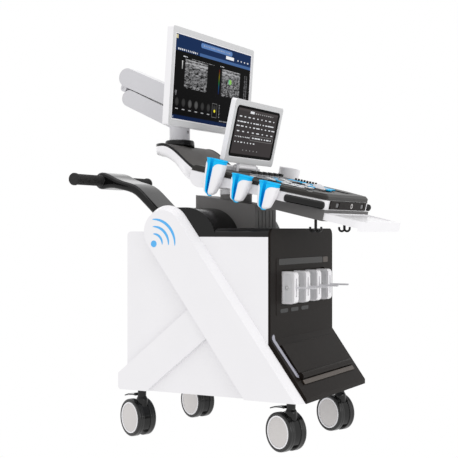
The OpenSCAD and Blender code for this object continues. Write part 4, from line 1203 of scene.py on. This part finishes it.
# %% Masks for a display
class Display(Finish):
    """A lit picture, painted with masks over u (left to right) and v (bottom to top)."""

    def __init__(self, name, centre, up, half_w, half_h, ground):
        super().__init__(name)
        self.half_w, self.half_h = half_w, half_h
        self.u = self.place.along(Vector((1, 0, 0)), centre) / (2 * half_w) + 0.5
        self.v = self.place.along(up, centre) / (2 * half_h) + 0.5
        self.picture = ground

    def paint(self, mask, colour):
        self.picture = self.mix(mask, self.picture, colour)

    def box(self, u0, u1, v0, v1):
        return (self.u > u0) * (self.u < u1) * (self.v > v0) * (self.v < v1)

    def pill(self, u0, u1, v0, v1):
        """A bar with round ends: everything within a radius of a line."""
        tall = (v1 - v0) * self.half_h
        reach = tall / self.half_w
        across = (self.u - (u0 + u1) / 2).distance() - ((u1 - u0) / 2 - reach / 2)
        across = across.maths("MAXIMUM", across, 0.0) * self.half_w
        away = (self.v - (v0 + v1) / 2) * self.half_h
        return (across * across + away * away) < (tall / 2) ** 2

    def dashes(self, u0, u1, v0, v1, columns, rows, fill=0.6, tall=0.4, seed=0.0):
        """Rows of short marks, each as long as chance says."""
        cell_u = (self.u - u0) * (columns / (u1 - u0))
        cell_v = (self.v - v0) * (rows / (v1 - v0))
        spot = self.node("ShaderNodeCombineXYZ", None,
                         {0: cell_u.floor() + seed, 1: cell_v.floor(), 2: 0.5})
        chance = self.node("ShaderNodeTexWhiteNoise", None, {"Vector": spot})
        inside = ((cell_u.fraction() - 0.5).distance() < chance * 0.5 * fill + 0.12)
        level = (cell_v.fraction() - 0.5).distance() < tall / 2
        return self.box(u0, u1, v0, v1) * inside * level

    def glow(self, rough):
        self.set(Base_Color=colour4((0.003, 0.003, 0.003)), Emission_Color=self.picture,
                 Emission_Strength=1.0, Roughness=rough, Specular_IOR_Level=0.01)
        return self.material


print("display painter ready")

# %% Scan picture
NAVY, DEEP_NAVY, SKY = (0.004, 0.022, 0.085), (0.002, 0.012, 0.055), (0.055, 0.125, 0.300)
INK = (0.75, 0.77, 0.80)


def scan(display, u0, u1, v0, v1, bright, seed):
    """A speckled grey scan with bright layers on top and a ragged, fading bottom."""
    across = (display.u - u0) / (u1 - u0)
    down = (v1 - display.v) / (v1 - v0)
    axes = {0: across * 5.0 + seed, 1: down * 9.0, 2: 0.0}
    spot = display.node("ShaderNodeCombineXYZ", None, axes)
    blur = {"Vector": spot, "Scale": 1.5, "Detail": 6.0, "Roughness": 0.70, "Distortion": 0.9}
    tissue = display.node("ShaderNodeTexNoise", None, blur)
    fine = {"Vector": spot, "Scale": 9.0, "Detail": 2.0}
    speckle = display.node("ShaderNodeTexNoise", None, fine)
    wave = display.node("ShaderNodeTexNoise", None, {"Vector": spot, "Scale": 0.7, "Detail": 2.0})
    level = (tissue * 3.4 - 1.42).clip() * (0.25 + speckle * 1.1) * bright
    for middle, half, strength in ((0.02, 0.020, 0.9), (0.13, 0.045, 1.1), (0.22, 0.030, 0.6)):
        away = (down + (wave - 0.5) * 0.16 - middle).distance() * (1 / half)
        level = level + (1 - away).clip() * (speckle * 1.6 - 0.2).clip() * strength
    edge = (1 - down) * 5.5 + (tissue - 0.5) * 9.0
    fade = edge.clip() * (across * 30).clip() * ((1 - across) * 30).clip()
    shade = level.clip() * fade * 0.50
    grey = display.node("ShaderNodeCombineColor", None, {0: shade, 1: shade, 2: shade * 1.03})
    display.paint(display.box(u0, u1, v0, v1), grey)


def monitor_picture():
    d = Display("monitor_picture", screen_centre, screen_up, screen_half_w, screen_half_h,
                (0.0006, 0.0006, 0.0008))
    d.paint(d.box(0, 1, 0.845, 1), NAVY)
    d.paint(d.box(0, 1, 0.808, 0.845), SKY)
    d.paint(d.box(0, 0.30, 0.808, 0.850), NAVY)
    d.paint(d.dashes(0.03, 0.28, 0.812, 0.846, 11, 1, 0.5, 0.62), INK)
    d.paint(d.box(0.004, 0.030, 0.945, 0.99), (0.62, 0.56, 0.34))
    d.paint(d.pill(0.31, 0.73, 0.915, 0.975), (0.105, 0.215, 0.47))
    d.paint(d.dashes(0.34, 0.70, 0.925, 0.968, 16, 1, 0.6, 0.40, 3.0), (0.32, 0.36, 0.46))
    d.paint(d.box(0.645, 0.755, 0.868, 0.908), (0.85, 0.86, 0.88))
    d.paint(d.dashes(0.79, 0.98, 0.862, 0.912, 4, 1, 0.2, 0.34, 5.0), INK)
    scan(d, 0.125, 0.415, 0.385, 0.730, 1.15, 2.0)
    scan(d, 0.600, 0.860, 0.385, 0.730, 1.2, 9.0)
    glow_u, glow_v = (d.u - 0.718) * 20.0, (d.v - 0.585) * 15.0
    blob = d.pill(0.697, 0.741, 0.553, 0.617)
    green = d.mix((glow_u * glow_v + 0.4).clip(), (0.05, 0.52, 0.12), (0.55, 0.62, 0.05))
    d.paint(blob, d.mix((glow_u * -1.2 + 0.1).clip(), green, (0.02, 0.42, 0.50)))
    stops = [(0.0, (0.0, 0.002, 0.06)), (0.3, (0.0, 0.05, 0.16)), (0.5, (0.01, 0.16, 0.03)),
             (0.75, (0.20, 0.16, 0.0)), (1.0, (0.10, 0.003, 0.0))]
    bar = d.node("ShaderNodeValToRGB", {"stops": stops}, {0: (d.v - 0.40) / 0.29})
    d.paint(d.box(0.563, 0.574, 0.40, 0.71), bar)
    shade = ((d.v - 0.56) / 0.14).clip() * 0.8
    grey = d.node("ShaderNodeCombineColor", None, {0: shade, 1: shade, 2: shade})
    d.paint(d.box(0.090, 0.100, 0.60, 0.70), grey)
    d.paint(d.dashes(0.20, 0.50, 0.737, 0.752, 14, 1, 0.7, 0.5, 7.0), (0.30, 0.30, 0.31))
    d.paint(d.dashes(0.10, 0.16, 0.745, 0.765, 3, 1, 0.7, 0.6, 2.0), INK)
    d.paint(d.dashes(0.57, 0.63, 0.745, 0.765, 3, 1, 0.7, 0.6, 4.0), INK)
    d.paint(d.dashes(0.915, 0.965, 0.30, 0.72, 2, 26, 0.6, 0.45, 1.0), (0.20, 0.20, 0.21))
    d.paint(d.dashes(0.02, 0.05, 0.28, 0.34, 1, 4, 0.8, 0.5, 6.0), (0.25, 0.25, 0.26))
    for i in range(7):
        left = 0.025 + i * 0.079
        across, away = (d.u - left - 0.029) / 0.024, (d.v - 0.205) / 0.052
        lump = (1 - (across * across + away * away)).clip()
        cell = lump.power(0.5) * (0.035 + 0.05 * (i in (2, 3)))
        tint = d.node("ShaderNodeCombineColor", None, {0: cell, 1: cell, 2: cell})
        d.paint(d.box(left, left + 0.058, 0.148, 0.262), tint)
        if i < 6:
            d.paint(d.box(left + 0.014, left + 0.046, 0.118, 0.129), (0.42, 0.42, 0.43))
    boxed = d.box(0.496, 0.562, 0.095, 0.275) * (1 - d.box(0.500, 0.558, 0.103, 0.267))
    d.paint(boxed, (0.12, 0.12, 0.12))
    dot_u, dot_v = (d.u - 0.530) * 1.75, d.v - 0.178
    d.paint((dot_u * dot_u + dot_v * dot_v) < 0.00036, (0.85, 0.75, 0.03))
    d.paint(d.dashes(0.585, 0.600, 0.10, 0.27, 1, 9, 0.7, 0.4, 8.0), (0.35, 0.35, 0.36))
    d.paint(d.dashes(0.60, 0.76, 0.055, 0.075, 8, 1, 0.7, 0.6, 8.0), (0.35, 0.35, 0.36))
    d.paint(d.box(0, 1, 0, 0.048), DEEP_NAVY)
    d.paint(d.box(0.012, 0.02, 0.012, 0.034), (0.35, 0.42, 0.55))
    return d.glow(0.25)


screen_place = axes_at(screen_centre, Vector((1, 0, 0)), screen_up, screen_out)
panel = plate(2 * screen_half_w / MM, 2 * screen_half_h / MM, 2.4, 1.0)
piece("monitor_display", panel, "monitor", monitor_picture(), "display_glass", screen_place,
      ("monitor_screen",))
print("monitor picture nodes:", len(bpy.data.materials["monitor_picture"].node_tree.nodes))

# %% [markdown]
# ## Monitor bezel
# A white line frames the picture inside the grey bezel, and a small lamp sits under it. The
# white case and the grey bezel are two mouldings on the real monitor, so the bezel is a
# separate frame laid on the front of the case.

# %% Bezel and lamp
case_low, case_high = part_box("monitor_housing")
CASE_HALF_W = (case_high.x - case_low.x) / 2 / MM
CASE_HALF_H = 160.5
BEZEL = 19.5


def border(outer_w, outer_h, inner_w, inner_h, corner_out, corner_in, low, high, soft=0.8):
    """A flat frame between two round-cornered outlines."""
    levels = ((outer_w, outer_h, corner_out, low), (outer_w, outer_h, corner_out, high - soft),
              (outer_w - 2 * soft, outer_h - 2 * soft, corner_out - soft, high),
              (inner_w + soft, inner_h + soft, corner_in + soft / 2, high),
              (inner_w, inner_h, corner_in, high - soft), (inner_w, inner_h, corner_in, low))
    rings = [[Vector((x, y, z)) * MM for x, y in round_box(w, h, c, 6)] for w, h, c, z in levels]
    return loft(rings + rings[:1], caps=False)


front = Vector((0, 87.2, 1191)) * MM
monitor_front = axes_at(front, Vector((1, 0, 0)), screen_up, screen_out)
inner_w, inner_h = 2 * (CASE_HALF_W - BEZEL), 2 * (CASE_HALF_H - BEZEL - 4)
frame_piece = border(2 * CASE_HALF_W - 1.6, 2 * CASE_HALF_H - 1.6, inner_w + 7, inner_h + 7, 8.5, 4,
                     -0.5, 1.2)
piece("monitor_bezel", frame_piece, "monitor", bezel_grey, "light_grey_shell", monitor_front)
white_line = border(inner_w + 7, inner_h + 7, inner_w + 0.4, inner_h + 0.4, 4, 1.5, -2.0, 0.9, 0.5)
piece("monitor_white_line", white_line, "monitor", white_shell, "white_shell", monitor_front)
lamp = lathe(in_mm([(0, 0.8), (1.8, 0.8), (1.8, 1.5), (1.2, 1.9), (0, 2.0)]), 24)
lamp_corner = Vector((CASE_HALF_W - 22, -CASE_HALF_H + 11, 0)) * MM
lamp_spot = monitor_front @ Matrix.Translation(lamp_corner)
piece("monitor_lamp", lamp, "monitor", lens_grey, "black_shell", lamp_spot)
print("case half width", round(CASE_HALF_W, 1), "mm")

# %% [markdown]
# ## Touch panel
# The touch panel is a sheet of black glass with small white controls on it: rows of dots and
# dashes, one group in a rounded box, and five dots at the bottom. The glass tilts with its
# housing, so its own axes are the console's.

# %% Touch glass
TOUCH_V, TOUCH_HALF, TOUCH_LOW, TOUCH_HIGH = 7, 177.5, 27, 236
touch_mid = (TOUCH_LOW + TOUCH_HIGH) / 2 + 2
touch_w, touch_h = 2 * TOUCH_HALF - 34, TOUCH_HIGH - TOUCH_LOW - 38
touch_centre = console @ (Vector((0, TOUCH_V, touch_mid)) * MM)
touch_place = axes_at(touch_centre, Vector((1, 0, 0)), deck_up, -deck_back)


def touch_picture():
    d = Display("touch_picture", touch_centre, deck_up, touch_w / 2 * MM, touch_h / 2 * MM,
                (0.0042, 0.0030, 0.0028))
    active = d.box(0.045, 0.955, 0.060, 0.940)
    d.picture = d.mix(active, (0.0007, 0.0007, 0.0007), (0.040, 0.0345, 0.0355))
    d.paint(d.box(0.045, 0.955, 0.895, 0.940), (0.058, 0.050, 0.051))
    d.paint(d.box(0.31, 0.40, 0.865, 0.912), INK)
    d.paint(d.dashes(0.42, 0.86, 0.862, 0.90, 9, 1, 0.5, 0.55, 2.0), (0.40, 0.40, 0.40))
    rows = ((0.785, 9, 0.30, 0.07, 0.93), (0.685, 12, 0.85, 0.05, 0.90),
            (0.600, 10, 0.60, 0.05, 0.95), (0.500, 8, 0.35, 0.06, 0.95),
            (0.395, 9, 0.40, 0.06, 0.40), (0.290, 7, 0.30, 0.06, 0.55))
    for n, (level, columns, fill, left, right) in enumerate(rows):
        low, high = level - 0.020, level + 0.020
        marks = d.dashes(left, right, low, high, columns, 1, fill, 0.52, n + 11.0)
        d.paint(marks, INK)
    outline = d.pill(0.40, 0.95, 0.345, 0.455) * (1 - d.pill(0.407, 0.943, 0.355, 0.445))
    d.paint(outline, (0.17, 0.165, 0.165))
    d.paint(d.dashes(0.44, 0.92, 0.382, 0.420, 7, 1, 0.7, 0.62, 21.0), INK)
    d.paint(d.dashes(0.26, 0.66, 0.128, 0.160, 5, 1, 0.0, 0.7, 0.0), (0.22, 0.22, 0.22))
    return d.glow(0.12)


glass = plate(touch_w - 0.6, touch_h - 0.6, 16, 0.6)
lowered = touch_place @ Matrix.Translation((0, 0, -1.0 * MM))
piece("touch_display", glass, "touch", touch_picture(), "display_glass", lowered, ("touch_glass",))
touch_frame = border(2 * TOUCH_HALF - 1.4, TOUCH_HIGH - TOUCH_LOW - 1.4,
                     touch_w + 0.4, touch_h + 0.4, 9.5, 16.2, -0.5, 1.0)
frame_spot = touch_place @ Matrix.Translation((0, -2 * MM, 0))
piece("touch_bezel", touch_frame, "touch", bezel_grey, "light_grey_shell", frame_spot)
print("touch glass", round(touch_w), "by", round(touch_h), "mm")

# %% [markdown]
# ## Front connectors of the console
# The dark panel at the console's front has a square socket, a round socket with a pale ring
# and a small button. They are turned or framed rings set into the panel.

# %% Connectors
PANEL_V, PANEL_W, PANEL_HALF = -379, -33, 152
panel_place = console @ axes_at(Vector((0, PANEL_V, PANEL_W)) * MM, Vector((1, 0, 0)),
                                Vector((0, 0, 1)), Vector((0, -1, 0)))
ring = [(5.2, -0.4), (5.2, 0.9), (6.0, 1.5), (7.6, 1.5), (8.4, 0.9), (8.4, -0.4)]
round_socket = ring_solid(in_mm(ring), 48)
round_socket.transform(Matrix.Translation(Vector((0.15 * PANEL_HALF, 0, 0)) * MM))
piece("round_socket_ring", round_socket, "console", disc_grey, "light_grey_shell", panel_place)
socket_grey = shell("socket_grey", (0.12, 0.12, 0.125), 0.40, 0.4, 0.01, 0.05)
squares = gather([plate(19, 13, 2.5, 0.2, cx=x * PANEL_HALF, cy=0) for x in (-0.62, 0.78)])
piece("square_sockets", squares, "console", socket_grey, "light_grey_shell",
      panel_place @ Matrix.Translation((0, 0, -1.6 * MM)))
print("connectors: 3")

# %% [markdown]
# ## Screws
# The rear cover and the monitor's back are held by pan-head screws with a cross recess. One
# screw is modelled, and a loop sets it wherever the real machine needs one.

# %% Pan-head screws
SCREW_HIGH = 1.7


def screw(radius):
    height = SCREW_HIGH
    profile = [(0, -1), (radius, -1), (radius, height * 0.45), (radius * 0.86, height * 0.8),
               (radius * 0.5, height), (0, height * 1.02)]
    head = lathe(in_mm(profile), 28)
    cross = [prism([(x * MM, y * MM) for x, y in round_box(*size, 0.25, 2)],
                   (height - 0.1) * MM, (height + 0.12) * MM) for size in ((3.4, 0.8), (0.8, 3.4))]
    return gather([head] + cross)


def screws_at(spots, radius):
    """One screw at each (x, y), as one bmesh."""
    screws = []
    for x, y in spots:
        one = screw(radius)
        one.transform(Matrix.Translation(Vector((x, y, 0)) * MM))
        screws.append(one)
    return gather(screws)


screw_steel = shell("screw_steel", (0.30, 0.30, 0.31), 0.30, 0.4, 0.01, 0.08, metallic=0.9)
back_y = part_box("rear_panel")[1].y
rear_face = axes_at(Vector((0, back_y, 0)), Vector((-1, 0, 0)), Vector((0, 0, 1)),
                    Vector((0, 1, 0)))
rear_spots = [(x, z) for x in (-222, 222) for z in (190, 340, 500, 645)] + [(0, 190), (0, 645)]
piece("rear_screws", screws_at(rear_spots, 3.2), "cart", screw_steel, "sheet_steel", rear_face)
BULGE_BACK = 30
back_spots = [(x, y) for x in (-50, 50) for y in (-70, 30)] + [(-136, 60), (136, 60)]
back_place = axes_at(front - screen_out * BULGE_BACK * MM, Vector((-1, 0, 0)), screen_up,
                     -screen_out)
piece("monitor_screws", screws_at(back_spots, 2.8), "monitor", screw_steel, "sheet_steel",
      back_place)
print("screws:", len(rear_spots) + len(back_spots))

# %% [markdown]
# ## Studio
# The machine is shown cut out on plain white, as in a catalogue: the white surround lights it
# evenly from every side, and three broad lights are added. The one in front draws bright lines
# along the edges that face it, the one overhead brightens the tops, and a weak one behind
# keeps the rear from going flat.

# %% Surround and lights
MIDDLE = Vector((0, 0, 0.7))


def soft_light(name, place, size, power):
    data = bpy.data.lights.new(name, "AREA")
    data.shape = "RECTANGLE"
    data.size, data.size_y = size
    data.energy = power
    light = bpy.data.objects.new(name, data)
    light.location = place
    light.rotation_euler = (MIDDLE - Vector(place)).to_track_quat("-Z", "Y").to_euler()
    bpy.context.scene.collection.objects.link(light)


soft_light("front", (-1.2, -4.2, 1.6), (2.4, 2.0), 26)
soft_light("overhead", (-0.6, 0.2, 4.0), (2.4, 2.4), 20)
soft_light("rear_fill", (2.2, 2.8, 2.2), (2.4, 2.4), 8)
world = bpy.data.worlds.new("studio")
world.use_nodes = True
world.node_tree.nodes["Background"].inputs["Color"].default_value = (1.0, 1.0, 1.0, 1)
world.node_tree.nodes["Background"].inputs["Strength"].default_value = 1.0
bpy.context.scene.world = world
bpy.context.scene.view_settings.view_transform = "Standard"

# %% [markdown]
# The visual model is meant to fill the same box as the CAD model. The script prints how far
# its box has grown past the CAD box, in millimetres, at the low and the high corner.

# %% Print how far the box has grown
visual_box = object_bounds()
grown = [[round((b - a) / MM, 1) for a, b in zip(p, q)] for p, q in zip(cad_box, visual_box)]
print("grown by", grown)
